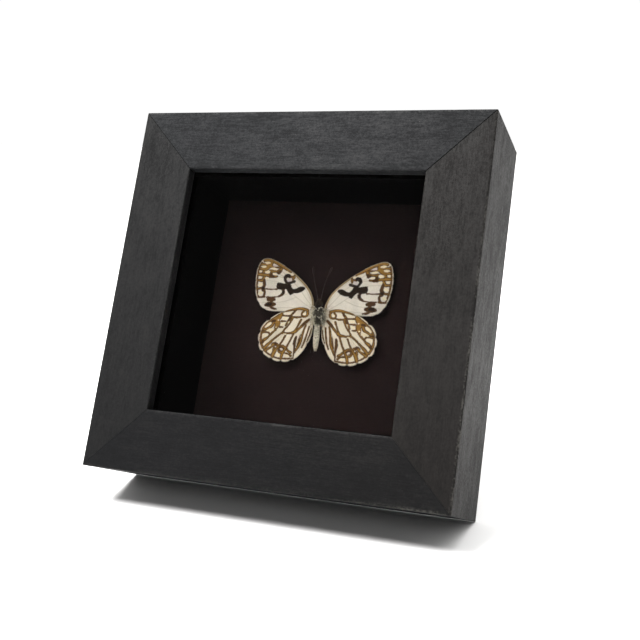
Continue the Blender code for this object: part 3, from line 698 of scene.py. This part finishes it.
HINDWING_MARKS = {
    "ochre": (
        ((4.1, 1.5, 0.35), (6.2, 2.0, 0.5), (8.2, 2.0, 0.45), (10.2, 1.45, 0.35), (13.6, 0.5, 0.25)),
        ((4.4, 1.1, 0.35), (4.2, 0.3, 0.42), (4.7, -0.6, 0.3), (6.0, -0.7, 0.25), (6.4, 0.2, 0.28),
         (5.8, 1.1, 0.3)),
        ((6.3, -0.9, 0.2), (7.7, -1.2, 0.26), (9.2, -1.2, 0.28), (10.0, -1.2, 0.4)),
        ((8.9, 1.4, 0.3), (9.4, 0.4, 0.32), (10.1, -0.4, 0.35), (10.4, -1.6, 0.45),
         (11.1, -2.9, 0.35), (11.8, -4.4, 0.28)),
        ((9.6, -1.6, 0.35), (10.0, -2.6, 0.3), (10.6, -4.0, 0.24), (11.8, -5.6, 0.24),
         (12.4, -6.6, 0.28)),
        ((10.6, -0.9, 0.2), (12.8, -1.0, 0.2), (13.8, -0.8, 0.3)),
        ((14.0, -0.2, 0.4), (14.8, -1.5, 1.0), (15.8, -2.6, 1.1), (15.0, -3.8, 1.0), (15.3, -5.2, 0.75)),
        ((15.6, -1.6, 0.6), (17.0, -2.8, 0.75), (17.8, -3.2, 0.35)),
        ((12.0, -2.9, 0.16), (13.6, -3.0, 0.3)),
        ((12.8, -5.1, 0.14), (14.0, -5.1, 0.3)),
        ((16.6, -3.6, 0.5), (17.2, -5.0, 0.5), (18.8, -6.0, 0.42), (20.3, -6.7, 0.5)),
        ((17.9, -2.9, 0.3), (19.4, -4.4, 0.28), (20.5, -6.4, 0.35), (20.8, -8.4, 0.3),
         (20.6, -10.6, 0.4), (19.5, -13.0, 0.35)),
        ((17.6, -7.8, 0.24), (18.4, -7.3, 0.28), (20.3, -7.4, 0.35)),
        ((15.4, -6.2, 0.35), (16.7, -7.7, 0.3), (18.0, -9.1, 0.35), (19.2, -10.0, 0.5),
         (20.0, -11.0, 0.5)),
        ((12.3, -7.0, 0.28), (13.5, -7.8, 0.26), (15.1, -9.2, 0.26), (16.3, -10.3, 0.35),
         (17.7, -11.8, 0.5), (18.8, -13.0, 0.6)),
        ((11.4, -8.1, 0.26), (12.0, -9.6, 0.22), (12.8, -11.2, 0.28), (13.8, -12.6, 0.4),
         (14.9, -14.5, 0.65), (15.3, -15.9, 0.5)),
        ((8.4, -7.4, 0.3), (9.1, -9.3, 0.24), (9.9, -11.2, 0.26), (10.9, -13.2, 0.4),
         (11.7, -15.2, 0.45), (11.8, -16.6, 0.4)),
        ((7.9, -6.5, 0.5), (9.0, -6.9, 0.4), (10.6, -7.2, 0.26), (12.0, -7.3, 0.34)),
        ((6.3, -2.0, 0.3), (6.9, -3.5, 0.26), (7.6, -5.2, 0.28), (8.0, -6.3, 0.45)),
        ((3.2, -1.6, 0.35), (4.5, -2.8, 0.5), (5.7, -4.2, 0.42), (6.9, -5.6, 0.35), (7.9, -6.5, 0.5)),
        ((10.8, -12.4, 0.4), (12.0, -11.9, 0.4), (13.1, -12.6, 0.4), (13.1, -13.7, 0.35),
         (12.2, -14.2, 0.35), (11.1, -13.8, 0.35)),
        ((14.0, -11.6, 0.5), (15.2, -11.3, 0.55), (16.1, -12.3, 0.45), (17.0, -13.0, 0.4),
         (18.4, -13.9, 0.5)),
        ((15.0, -12.6, 0.4), (15.2, -13.6, 0.35)),
        ((8.4, -14.0, 0.4), (9.4, -13.5, 0.4), (10.0, -12.9, 0.3)),
        ((8.2, -15.2, 0.3), (8.8, -14.7, 0.25), (10.6, -14.3, 0.2)),
        ((7.6, -15.9, 0.15), (10.0, -16.3, 0.22), (13.2, -16.3, 0.2), (16.6, -15.2, 0.2),
         (18.8, -13.8, 0.3)),
        ((2.9, -4.2, 0.2), (3.3, -7.0, 0.22), (3.8, -9.5, 0.22), (4.6, -11.8, 0.16)),
        ((4.3, -3.8, 0.25), (4.8, -6.0, 0.3), (5.1, -8.5, 0.36), (5.5, -10.5, 0.42),
         (6.3, -12.3, 0.4), (7.0, -13.8, 0.2)),
        ((5.6, -7.5, 0.08), (6.0, -9.8, 0.2), (6.4, -11.6, 0.2)),
        ((1.9, -5.0, 0.12), (2.3, -7.4, 0.14), (3.0, -9.6, 0.1)),
    ),
    "cream": (
        ((17.9, -3.9, 0.28), (18.7, -4.6, 0.4), (19.5, -5.5, 0.26)),
        ((16.5, -6.4, 0.32), (17.4, -6.4, 0.48), (18.6, -6.8, 0.24)),
        ((19.4, -8.2, 0.3), (20.0, -8.5, 0.36)),
        ((16.1, -13.8, 0.45), (17.0, -14.2, 0.28)),
        ((12.9, -15.3, 0.48), (13.5, -15.2, 0.3)),
        ((9.6, -15.2, 0.38), (10.1, -15.4, 0.25)),
        ((11.9, -1.9, 0.5), (13.0, -1.9, 0.52)),
        ((12.4, -3.7, 0.3), (13.5, -4.3, 0.38)),
        ((18.8, -11.2, 0.16), (19.3, -11.8, 0.14)),
        ((16.4, -12.0, 0.14), (17.0, -12.3, 0.14)),
        ((14.8, -2.7, 0.14), (15.0, -2.6, 0.16)),
        ((15.3, -5.3, 0.16), (15.5, -5.3, 0.16)),
        ((10.7, -3.0, 0.12), (11.0, -3.4, 0.12)),
        ((11.3, -7.55, 0.14), (12.0, -7.6, 0.16)),
        ((5.2, 0.2, 0.3), (5.6, 0.2, 0.3)),
    ),
    "umber": (
        ((7.2, -8.2, 0.2), (7.4, -9.5, 0.36), (7.5, -10.8, 0.4), (7.3, -12.0, 0.26),
         (7.2, -14.0, 0.14), (7.3, -16.0, 0.1)),
        ((3.4, -1.6, 0.2), (4.4, -2.6, 0.3), (5.4, -3.8, 0.2)),
        ((9.2, 0.9, 0.14), (9.7, 0.2, 0.2)),
        ((10.3, -1.0, 0.2), (10.9, -2.4, 0.2)),
        ((12.2, -13.4, 0.12), (12.9, -13.4, 0.16), (12.9, -12.5, 0.16), (12.0, -12.3, 0.14),
         (11.3, -12.8, 0.14)),
        ((14.4, -11.4, 0.2), (15.2, -11.0, 0.2)),
        ((16.3, -3.0, 0.3), (17.2, -3.1, 0.25)),
        ((20.2, -6.8, 0.2), (20.6, -7.0, 0.15)),
        ((19.6, -10.6, 0.25), (20.2, -11.2, 0.2)),
    ),
    "black": (),
    "lilac": (((12.1, -13.1, 0.26), (12.2, -13.1, 0.26)),),
}


def distance_to_strokes(points, strokes):
    """Distance in mm from each point to the nearest stroke's edge; it is negative inside."""
    nearest = np.full(len(points), 9.0)
    for stroke in strokes:
        line = smoothed(stroke)
        for start, end in zip(line, line[1:]):
            run = end[:2] - start[:2]
            length = max(float(run @ run), 1e-9)
            t = np.clip((points - start[:2]) @ run / length, 0, 1)
            gap = points - start[:2] - t[:, None] * run
            width = start[2] + t * (end[2] - start[2])
            nearest = np.minimum(nearest, np.hypot(gap[:, 0], gap[:, 1]) - width)
    return nearest


def along_line(line, count):
    """So many points spaced evenly along a line."""
    steps = np.hypot(*np.diff(line, axis=0).T)
    reach = np.concatenate([[0], np.cumsum(steps)])
    wanted = np.linspace(0, reach[-1], count)
    return np.stack([np.interp(wanted, reach, line[:, axis]) for axis in (0, 1)], axis=1)


WING_ROWS = 190
WING_COLUMNS = 120
WING_THICKNESS = 0.06
FOREWING_DRAWING = (FOREWING_EDGE, FOREWING_ROOT, FOREWING_VEINS, FOREWING_MARKS)
HINDWING_DRAWING = (HINDWING_EDGE, HINDWING_ROOT, HINDWING_VEINS, HINDWING_MARKS)
# Height over the wing plane, height of the arch, and depth of the margin's notches (mm)
FOREWING_FORM = {"lift": -0.3, "arch": 0.35, "notch": 0.12}
HINDWING_FORM = {"lift": 0.3, "arch": 0.3, "notch": 0.5}


def set_wing(points, name):
    """Points of a right wing (mm), moved to where this wing was set."""
    across, up, turn = WING_SET[name]
    cosine, sine = math.cos(math.radians(turn)), math.sin(math.radians(turn))
    side = -1 if name.endswith("left") else 1
    x = side * (points[:, 0] * cosine - points[:, 1] * sine + across) + BODY_ACROSS
    y = points[:, 0] * sine + points[:, 1] * cosine + up
    return np.stack([x, y], axis=1)


def scalloped(margin, veins, notch):
    """The margin drawn in slightly where a vein meets it."""
    ends = np.array([line[-1] for line in veins])
    centre = margin.mean(axis=0)
    moved = margin.copy()
    for index, point in enumerate(margin):
        near = np.hypot(*(ends - point).T).min()
        inward = (centre - point) / np.hypot(*(centre - point))
        moved[index] += inward * notch * math.exp(-(near / 0.6) ** 2)
    return moved


def add_wing(name, edge, root, veins, marks, finish, lift, arch, notch):
    """One wing: a grid fanned from its root to its margin, arched between the veins."""
    margin = along_line(smoothed(edge, 8), WING_ROWS + 1)
    margin = scalloped(margin, veins, notch)
    start, end = np.array(root[0]), np.array(root[1])
    side = -1 if name.endswith("left") else 1

    def spot(u, v):
        base = start + (end - start) * v
        return base + (margin[round(v * WING_ROWS)] - base) * (u ** 0.8)

    columns = np.linspace(0, 1, WING_COLUMNS + 1)
    flat = np.array([spot(u, v) for v in np.linspace(0, 1, WING_ROWS + 1) for u in columns])
    placed = set_wing(flat, name)
    vein_gap = distance_to_strokes(flat, [[(x, y, 0.0) for x, y in line] for line in veins])
    between = np.clip(vein_gap / 1.6, 0, 1)
    inner = np.tile(columns, WING_ROWS + 1)
    height = lift + arch * np.sin(np.pi * inner ** 0.9) + 0.10 * between * np.sin(np.pi * inner)
    ripple = np.array([noise.noise(Vector((x * 0.22, y * 0.22, 3.0 * side))) for x, y in flat])
    height += 0.22 * ripple * inner
    height += 0.05 * np.clip(1 - vein_gap / 0.18, 0, 1) * (1 - inner * 0.5)
    places = np.column_stack([placed, height])

    def position(u, v):
        index = round(v * WING_ROWS) * (WING_COLUMNS + 1) + round(u * WING_COLUMNS)
        return SPECIMEN @ Vector(places[index])

    piece = shaped_grid(name + "_membrane", WING_COLUMNS, WING_ROWS, position)
    fields = {mark: distance_to_strokes(flat, strokes) for mark, strokes in marks.items()}
    fields["vein"] = vein_gap
    rim = margin[: int(WING_ROWS * 0.98)]
    fields["edge"] = np.array([np.hypot(*(rim - point).T).min() for point in flat])
    front = along_line(smoothed(edge[:8], 8), 60)
    leading = np.array([np.hypot(*(front - point).T).min() for point in flat])
    near_costa = np.clip(1.25 - leading, 0, 1) if name.startswith("fore") else np.zeros(len(flat))
    fields["costa"] = near_costa * np.clip((15.5 - flat[:, 0]) / 6, 0, 1)
    reach = np.hypot(*(flat - (start + end) / 2).T)
    fields["root"] = np.clip(1 - reach / 5.0, 0, 1)
    for field, values in fields.items():
        stored = piece.data.attributes.new(field, "FLOAT", "POINT")
        stored.data.foreach_set("value", values.astype(np.float32))
    solid = piece.modifiers.new("membrane", "SOLIDIFY")
    solid.thickness = WING_THICKNESS * MM
    solid.offset = 0.0
    alone(piece)
    bpy.ops.object.modifier_apply(modifier=solid.name)
    smooth_shade(piece, 60.0)
    finish_piece(piece, finish, "frame", "wing_scales", name)
    margin_height = height.reshape(-1, WING_COLUMNS + 1)[:, -1]
    margin_line = np.column_stack([set_wing(margin, name), margin_height])
    return margin_line, [line[-1] for line in veins], margin


# ---- hairs ------------------------------------------------------------------------------


def add_hairs(name, roots, finish, body, slot, curl=0.25, seed=1):
    """Tapered three-sided hairs. A root is (place, direction, length, half width, tone), in the
    specimen's mm; each hair bends a little as it leaves the skin."""
    draw = random.Random(seed)
    points, faces, tones = [], [], []
    rings = 3
    for place, direction, length, width, tone in roots:
        place, direction = Vector(place), Vector(direction).normalized()
        aside = direction.orthogonal().normalized()
        aside.rotate(Matrix.Rotation(draw.uniform(0, math.tau), 3, direction))
        across = direction.cross(aside)
        first = len(points)
        for ring in range(rings):
            share = ring / rings
            centre = place + direction * length * share + aside * length * curl * share * share
            for corner in range(3):
                angle = math.tau * corner / 3
                spoke = aside * math.cos(angle) + across * math.sin(angle)
                points.append(SPECIMEN @ (centre + spoke * width * (1 - share * 0.7)))
                tones.append(tone)
        tip = place + direction * length + aside * length * curl
        points.append(SPECIMEN @ tip)
        tones.append(min(1.0, tone + 0.15))
        faces.append((first, first + 2, first + 1))
        for ring in range(rings - 1):
            for corner in range(3):
                low = first + ring * 3 + corner
                turn = first + ring * 3 + (corner + 1) % 3
                faces.append((low, turn, turn + 3, low + 3))
        for corner in range(3):
            faces.append((first + 6 + corner, first + 6 + (corner + 1) % 3, first + 9))
    mesh = bpy.data.meshes.new(name)
    mesh.from_pydata([tuple(point) for point in points], [], faces)
    stored = mesh.attributes.new("tone", "FLOAT", "POINT")
    stored.data.foreach_set("value", np.array(tones, np.float32))
    piece = bpy.data.objects.new(name, mesh)
    bpy.context.scene.collection.objects.link(piece)
    return finish_piece(piece, finish, body, slot)


def fringe_roots(margin_line, vein_ends, flat_margin, seed):
    """Short cilia all along a wing's outer margin, dark where a vein ends."""
    draw = random.Random(seed)
    roots = []
    ends = np.array(vein_ends)
    count = len(margin_line)
    for index in range(int(count * 0.30), int(count * 0.985)):
        here, after = margin_line[index], margin_line[min(index + 1, count - 1)]
        run = after - here
        for step in range(4):
            place = here + run * (step + draw.random()) / 4
            outward = np.array([run[1], -run[0], 0.0])
            outward /= max(np.hypot(*outward[:2]), 1e-6)
            if outward[:2] @ (place[:2] - margin_line[:, :2].mean(axis=0)) < 0:
                outward = -outward
            near = np.hypot(*(ends - flat_margin[index]).T).min()
            tone = 0.35 if near < 0.35 else draw.uniform(0.7, 1.0)
            lean = draw.uniform(-0.25, 0.25)
            way = outward + np.array([run[0], run[1], 0.0]) / max(np.hypot(*run[:2]), 1e-6) * lean
            roots.append((place - outward * 0.08, way, draw.uniform(0.2, 0.42), 0.035, tone))
    return roots


# ---- the body ---------------------------------------------------------------------------

# Distance along the body from the thorax's middle, and radius (mm)
BODY_PROFILE = (
    (4.9, 0.05), (4.7, 0.65), (4.1, 1.05), (3.4, 1.0), (2.9, 0.85), (2.3, 1.4),
    (1.3, 1.8), (0.0, 1.85), (-1.3, 1.6), (-2.4, 1.1), (-3.3, 1.0), (-5.0, 1.1),
    (-8.0, 1.05), (-10.5, 0.8), (-12.0, 0.45), (-12.6, 0.05),
)
PROFILE_LINE = smoothed(BODY_PROFILE, 10)
# The abdomen's rings, from and to along the body
RINGS_START, RINGS_END = -3.2, -12.0
THORAX_HAIRS, ABDOMEN_HAIRS, HEAD_HAIRS = 2300, 1700, 700
PALP_HAIRS, WING_ROOT_HAIRS = 160, 150


def body_radius(along):
    order = PROFILE_LINE[::-1]
    return float(np.interp(along, order[:, 0], order[:, 1]))


def body_point(along, angle, raise_by=0.0):
    """A point of the body's skin, the angle counted from the side that faces the glass."""
    radius = body_radius(along)
    if RINGS_END < along < RINGS_START:
        share = (along - RINGS_END) / (RINGS_START - RINGS_END) * 8
        radius *= 1 - 0.09 * (0.5 - abs(share % 1 - 0.5) < 0.12)
    radius += raise_by
    across = BODY_ACROSS + radius * math.sin(angle)
    return Vector((across, along, BODY_LIFT + radius * 0.92 * math.cos(angle)))


def stray(draw, across, along, out):
    """A random lean, given its usual size in each direction."""
    return Vector((draw.gauss(0, across), draw.gauss(0, along), draw.gauss(0, out)))


def build_body():
    first, last = PROFILE_LINE[0][0] - 0.02, PROFILE_LINE[-1][0] + 0.02

    def skin(u, v):
        return SPECIMEN @ body_point(first + (last - first) * v, math.tau * u)

    body = shaped_grid("body_skin", 48, 170, skin, closed=True)
    close_ends(body)
    smooth_shade(body, 50.0)
    skin_finish = chitin("body skin", (0.016, 0.012, 0.008), (0.86, 0.80, 0.64), pale_from=0.45)
    finish_piece(body, skin_finish, "frame", "body_hair", "butterfly_body")

    draw = random.Random(11)
    thorax = []
    for _ in range(THORAX_HAIRS):
        along = draw.uniform(-2.8, 2.9)
        angle = draw.uniform(-1.9, 1.9)
        place = body_point(along, angle, -0.05)
        outward = place - Vector((BODY_ACROSS, along, BODY_LIFT))
        way = outward.normalized() * 0.3 + Vector((0, -0.8, 0)) + stray(draw, 0.2, 0.2, 0.12)
        patchy = noise.noise(Vector((along * 1.1, angle * 1.6, 2.0)))
        # Painted shade: the hairs are darker along a groove just right of the thorax's axis
        painted_groove_shade = math.exp(-(((place.x - BODY_ACROSS) - 0.5) / 0.6) ** 2)
        tone = 0.6 + patchy * 1.4 - painted_groove_shade * 1.6 - 0.12 * max(0.0, along) + draw.uniform(-0.15, 0.15)
        thorax.append((place, way, draw.uniform(0.5, 1.1), 0.045, min(1.0, max(0.0, tone))))
    chest = hair_finish("grey and white chest hair", (0.016, 0.011, 0.007), (0.76, 0.71, 0.54))
    add_hairs("thorax_hair", thorax, chest, "frame", "body_hair", seed=21)

    belly = []
    for _ in range(ABDOMEN_HAIRS):
        along = draw.uniform(-12.3, -2.6)
        angle = draw.uniform(-2.0, 2.0)
        place = body_point(along, angle, -0.04)
        outward = place - Vector((BODY_ACROSS, along, BODY_LIFT))
        aside = Vector((draw.gauss(0, 0.08), 0, draw.gauss(0, 0.06)))
        way = outward.normalized() * 0.1 + Vector((0, -1.0, 0)) + aside
        # Painted shade: the hairs darken toward the abdomen's sides, away from its middle that faces the
        # glass; shaded darkens its upper part
        middle = math.exp(-(angle / 0.55) ** 2)
        tip = 1.0 if along > -11.4 else 0.35
        shaded = 0.35 * min(1.0, max(0.0, (along + 7.5) / 3))
        tone = min(1.0, max(0.0, (1.0 - 0.4 * (1 - middle) - shaded + draw.uniform(-0.12, 0.1)) * tip))
        belly.append((place, way, draw.uniform(0.35, 0.7), 0.05, tone))
    pale = hair_finish("pale abdomen scales", (0.13, 0.10, 0.06), (0.92, 0.86, 0.68))
    add_hairs("abdomen_hair", belly, pale, "frame", "body_hair", curl=0.1, seed=22)

    head = []
    for _ in range(HEAD_HAIRS):
        along = draw.uniform(2.9, 4.8)
        angle = draw.uniform(-1.7, 1.7)
        place = body_point(along, angle, -0.04)
        forward = Vector((math.sin(angle) * 0.5, 0.7, math.cos(angle) * 0.4))
        way = forward + stray(draw, 0.25, 0.2, 0.2)
        head.append((place, way, draw.uniform(0.45, 1.0), 0.04, draw.uniform(0.0, 0.4)))
    for side in (-1, 1):
        for _ in range(PALP_HAIRS):
            along = draw.uniform(0.0, 1.0)
            place = Vector((BODY_ACROSS + side * (0.42 - along * 0.12), 4.5 + along * 1.3, BODY_LIFT + 0.55))
            spread = Vector((draw.gauss(0, 0.5), 0.6 + draw.random(), draw.gauss(0.1, 0.5)))
            head.append((place, spread, draw.uniform(0.25, 0.5), 0.03, draw.uniform(0.1, 0.9)))
    brown = hair_finish("dark head hair", (0.010, 0.007, 0.005), (0.16, 0.13, 0.09))
    add_hairs("head_hair", head, brown, "frame", "body_hair", seed=23)

    roots = []
    for side in (-1, 1):
        for _ in range(WING_ROOT_HAIRS):
            along = draw.uniform(-2.4, 3.0)
            place = Vector((BODY_ACROSS + side * draw.uniform(1.2, 1.9), along, 0.45))
            out = side * draw.uniform(0.8, 1.3)
            back = -0.55 + 0.12 * along + draw.gauss(0, 0.15)
            way = Vector((out, back, draw.uniform(0.0, 0.18)))
            roots.append((place, way, draw.uniform(0.9, 2.0), 0.035, draw.choice((0.1, 0.25, 0.9))))
    add_hairs("wing_root_hair", roots, chest, "frame", "body_hair", curl=0.12, seed=24)


def add_eye(name, side):
    """A domed eye, a sphere flattened against the head."""
    bpy.ops.object.select_all(action="DESELECT")
    bpy.ops.mesh.primitive_uv_sphere_add(segments=32, ring_count=18, radius=0.62)
    eye = bpy.context.active_object
    eye.name = name
    tilt = Matrix.Rotation(math.radians(25) * side, 4, "Y")
    shape = Matrix.Diagonal((0.72, 1.0, 1.0, 1.0))
    place = Matrix.Translation((BODY_ACROSS + side * 0.78, 4.0, BODY_LIFT + 0.12))
    eye.data.transform(SPECIMEN @ place @ tilt @ shape)
    smooth_shade(eye, 60.0)
    return eye


def tube(name, route, sides, rows, finish, slot, *nodes):
    """A round limb along a route of (across, up, out, half width)."""
    line = smoothed(route, 8)
    line[:, 0] += BODY_ACROSS
    line[:, 2] += BODY_LIFT
    steps = np.concatenate([[0], np.cumsum(np.linalg.norm(np.diff(line[:, :3], axis=0), axis=1))])
    wanted = np.linspace(0, steps[-1], rows + 1)
    path = np.stack([np.interp(wanted, steps, line[:, axis]) for axis in range(4)], axis=1)
    frames = []
    aside = Vector((0, 0, 1))
    for index in range(rows + 1):
        before, after = path[max(index - 1, 0), :3], path[min(index + 1, rows), :3]
        ahead = Vector(after - before).normalized()
        aside = (aside - ahead * aside.dot(ahead)).normalized()
        frames.append((Vector(path[index, :3]), aside.copy(), ahead.cross(aside), path[index, 3]))

    def position(u, v):
        centre, one, other, radius = frames[round(v * rows)]
        if v < 0.5 / rows or v > 1 - 0.5 / rows:
            radius *= 0.3
        angle = math.tau * u
        return SPECIMEN @ (centre + (one * math.cos(angle) + other * math.sin(angle)) * radius)

    piece = shaped_grid(name, sides, rows, position, closed=True)
    close_ends(piece)
    smooth_shade(piece, 60.0)
    return finish_piece(piece, finish, "frame", slot, *nodes)


# Routes: across, up, out and half width (mm)
ANTENNAE = {
    "antenna_left": (
        (-0.5, 4.9, 0.2, 0.15), (-1.0, 8.0, 0.6, 0.13), (-2.0, 11.5, 0.8, 0.13),
        (-2.7, 14.5, 0.8, 0.17), (-3.1, 16.3, 0.7, 0.32), (-3.2, 17.4, 0.6, 0.27),
        (-3.22, 17.8, 0.6, 0.1),
    ),
    "antenna_right": (
        (0.5, 4.9, 0.2, 0.15), (1.0, 8.0, 0.6, 0.13), (1.8, 11.5, 0.8, 0.13),
        (2.8, 14.5, 0.8, 0.17), (3.5, 16.2, 0.7, 0.32), (3.75, 17.2, 0.6, 0.27), (3.83, 17.6, 0.6, 0.1),
    ),
}
LEGS = {
    "middle_leg": (
        (0.3, 1.5, 1.5, 0.2), (0.9, 2.2, 2.1, 0.26), (1.7, 2.6, 2.0, 0.16), (2.1, 2.2, 1.7, 0.16),
        (2.6, 1.2, 1.2, 0.12), (2.9, 0.4, 0.9, 0.08), (3.2, -0.5, 0.5, 0.06),
    ),
    "hind_leg": (
        (0.3, -0.5, 1.5, 0.2), (1.0, -1.0, 2.0, 0.26), (1.9, -1.5, 1.8, 0.16), (2.2, -2.2, 1.5, 0.15),
        (2.3, -3.4, 1.0, 0.11), (2.2, -4.4, 0.8, 0.08), (2.1, -5.2, 0.5, 0.06),
    ),
}
LEFT_LEGS_UP = 0.5


def build_specimen():
    white = wing_scales("white wing scales", WHITE_SCALES)
    cream = wing_scales("cream wing scales", HINDWING_GROUND)
    fringe = hair_finish("wing fringe", (0.06, 0.045, 0.03), (0.62, 0.58, 0.50))
    seeds = iter((31, 32, 33, 34))
    for side in ("left", "right"):
        for kind, drawing, finish, form in (
            ("forewing", FOREWING_DRAWING, white, FOREWING_FORM),
            ("hindwing", HINDWING_DRAWING, cream, HINDWING_FORM),
        ):
            name = "%s_%s" % (kind, side)
            line, ends, flat = add_wing(name, *drawing, finish, **form)
            roots = fringe_roots(line, ends, flat, next(seeds))
            add_hairs(name + "_fringe", roots, fringe, "frame", "wing_scales", curl=0.1, seed=5)
    build_body()
    eyes = eye_finish("dark eye")
    for name, side in (("eye_left", -1), ("eye_right", 1)):
        finish_piece(add_eye(name, side), eyes, "frame", "body_hair")
    ringed = chitin("ringed antenna", (0.006, 0.004, 0.003), (0.030, 0.018, 0.013), bands=210.0)
    for name, route in ANTENNAE.items():
        tube(name + "_shaft", route, 10, 90, ringed, "limb", name)
    pale = chitin("scaled leg", (0.16, 0.13, 0.09), (0.62, 0.57, 0.47), bands=38.0)
    for kind, route in LEGS.items():
        for side, turn, up in (("left", -1, LEFT_LEGS_UP), ("right", 1, 0.0)):
            placed = [(turn * x, y + up, out, width) for x, y, out, width in route]
            tube("%s_%s_limb" % (kind, side), placed, 10, 50, pale, "limb", "%s_%s" % (kind, side))
    coil = [
        (0.02 * turn,
         4.75 + (0.42 - turn * 0.022) * math.cos(turn * 0.8),
         0.75 + (0.42 - turn * 0.022) * math.sin(turn * 0.8), 0.07)
        for turn in range(18)
    ]
    tube("proboscis", coil, 8, 90, ringed, "limb")


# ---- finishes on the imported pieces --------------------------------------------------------


def finish_nodes():
    steel = plated_steel("nickel-plated steel")
    spacer = black_board("matt black spacer", (0.0011, 0.0008, 0.0009), 900.0, 0.00008, 0.8)
    mount = black_board("dark brown mount card", (0.0165, 0.0098, 0.0090), 2400.0, 0.00005, 0.82)
    backing = black_board("pressed backboard", (0.035, 0.031, 0.027), 1300.0, 0.00012, 0.75)
    strut = leathered("leather-grained strut paper", (0.022, 0.021, 0.020))
    for name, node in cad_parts.items():
        if name == "glass_pane":
            finish = clear_glass("clear float glass")
        elif name.startswith("spacer"):
            finish = spacer
        elif name == "mount_board":
            finish = mount
        elif name == "backboard":
            finish = backing
        elif name == "strut":
            finish = strut
        elif name == "cork_pad":
            finish = cork_finish("cork")
        elif name.startswith(("turn_button", "hinge", "backboard_rivet", "strut_rivet")):
            finish = steel
        else:
            continue
        node.data.materials.clear()
        node.data.materials.append(finish.material)


def add_floor():
    bpy.ops.object.select_all(action="DESELECT")
    bpy.ops.mesh.primitive_plane_add(size=8.0, location=(0, 0, 0))
    floor = bpy.context.active_object
    floor.name = "studio_floor"
    pale = Finish("pale studio floor", Roughness=0.9, Specular_IOR_Level=0.1)
    mottled = pale.noise(pale.mapped(), 3.0, 2.0)
    pale.set(Base_Color=pale.mix(mottled, (0.90, 0.895, 0.885), (0.93, 0.925, 0.915)))
    floor.data.materials.append(pale.material)


def add_world():
    """A white surround: bright behind the frame and overhead, dark on the side it faces."""
    world = bpy.data.worlds.new("studio")
    bpy.context.scene.world = world
    world.use_nodes = True
    tree = world.node_tree
    shade = tree.nodes["Background"]
    shade.inputs["Color"].default_value = (1.0, 1.0, 1.0, 1.0)
    where = tree.nodes.new("ShaderNodeTexCoord")
    parts = tree.nodes.new("ShaderNodeSeparateXYZ")
    tree.links.new(where.outputs["Generated"], parts.inputs[0])

    def ramp(axis, start, end, low, high):
        made = tree.nodes.new("ShaderNodeMapRange")
        made.interpolation_type = "SMOOTHSTEP"
        for name, value in (("From Min", start), ("From Max", end), ("To Min", low), ("To Max", high)):
            made.inputs[name].default_value = value
        tree.links.new(parts.outputs[axis], made.inputs["Value"])
        return made.outputs["Result"]

    total = tree.nodes.new("ShaderNodeMath")
    tree.links.new(ramp("Y", -0.3, 0.35, 0.02, BACKDROP_LIGHT), total.inputs[0])
    tree.links.new(ramp("Z", 0.74, 1.0, 0.0, OVERHEAD_LIGHT), total.inputs[1])
    seen = tree.nodes.new("ShaderNodeLightPath")
    mixed = tree.nodes.new("ShaderNodeMix")
    tree.links.new(seen.outputs["Is Camera Ray"], mixed.inputs["Factor"])
    tree.links.new(total.outputs["Value"], mixed.inputs["A"])
    mixed.inputs["B"].default_value = SEEN_BACKDROP
    tree.links.new(mixed.outputs["Result"], shade.inputs["Strength"])


add_camera()
add_world()
add_floor()
add_softbox("key_softbox", (-0.54, -0.73, 1.385), aim_height=0.07, size=(0.55, 0.45), power=48.0)
add_softbox("fill_softbox", (0.40, -1.10, 0.62), aim_height=0.05, size=(0.9, 0.5), power=2.5)
build_rails()
finish_nodes()
build_specimen()
bpy.context.scene.view_settings.view_transform = "Standard"
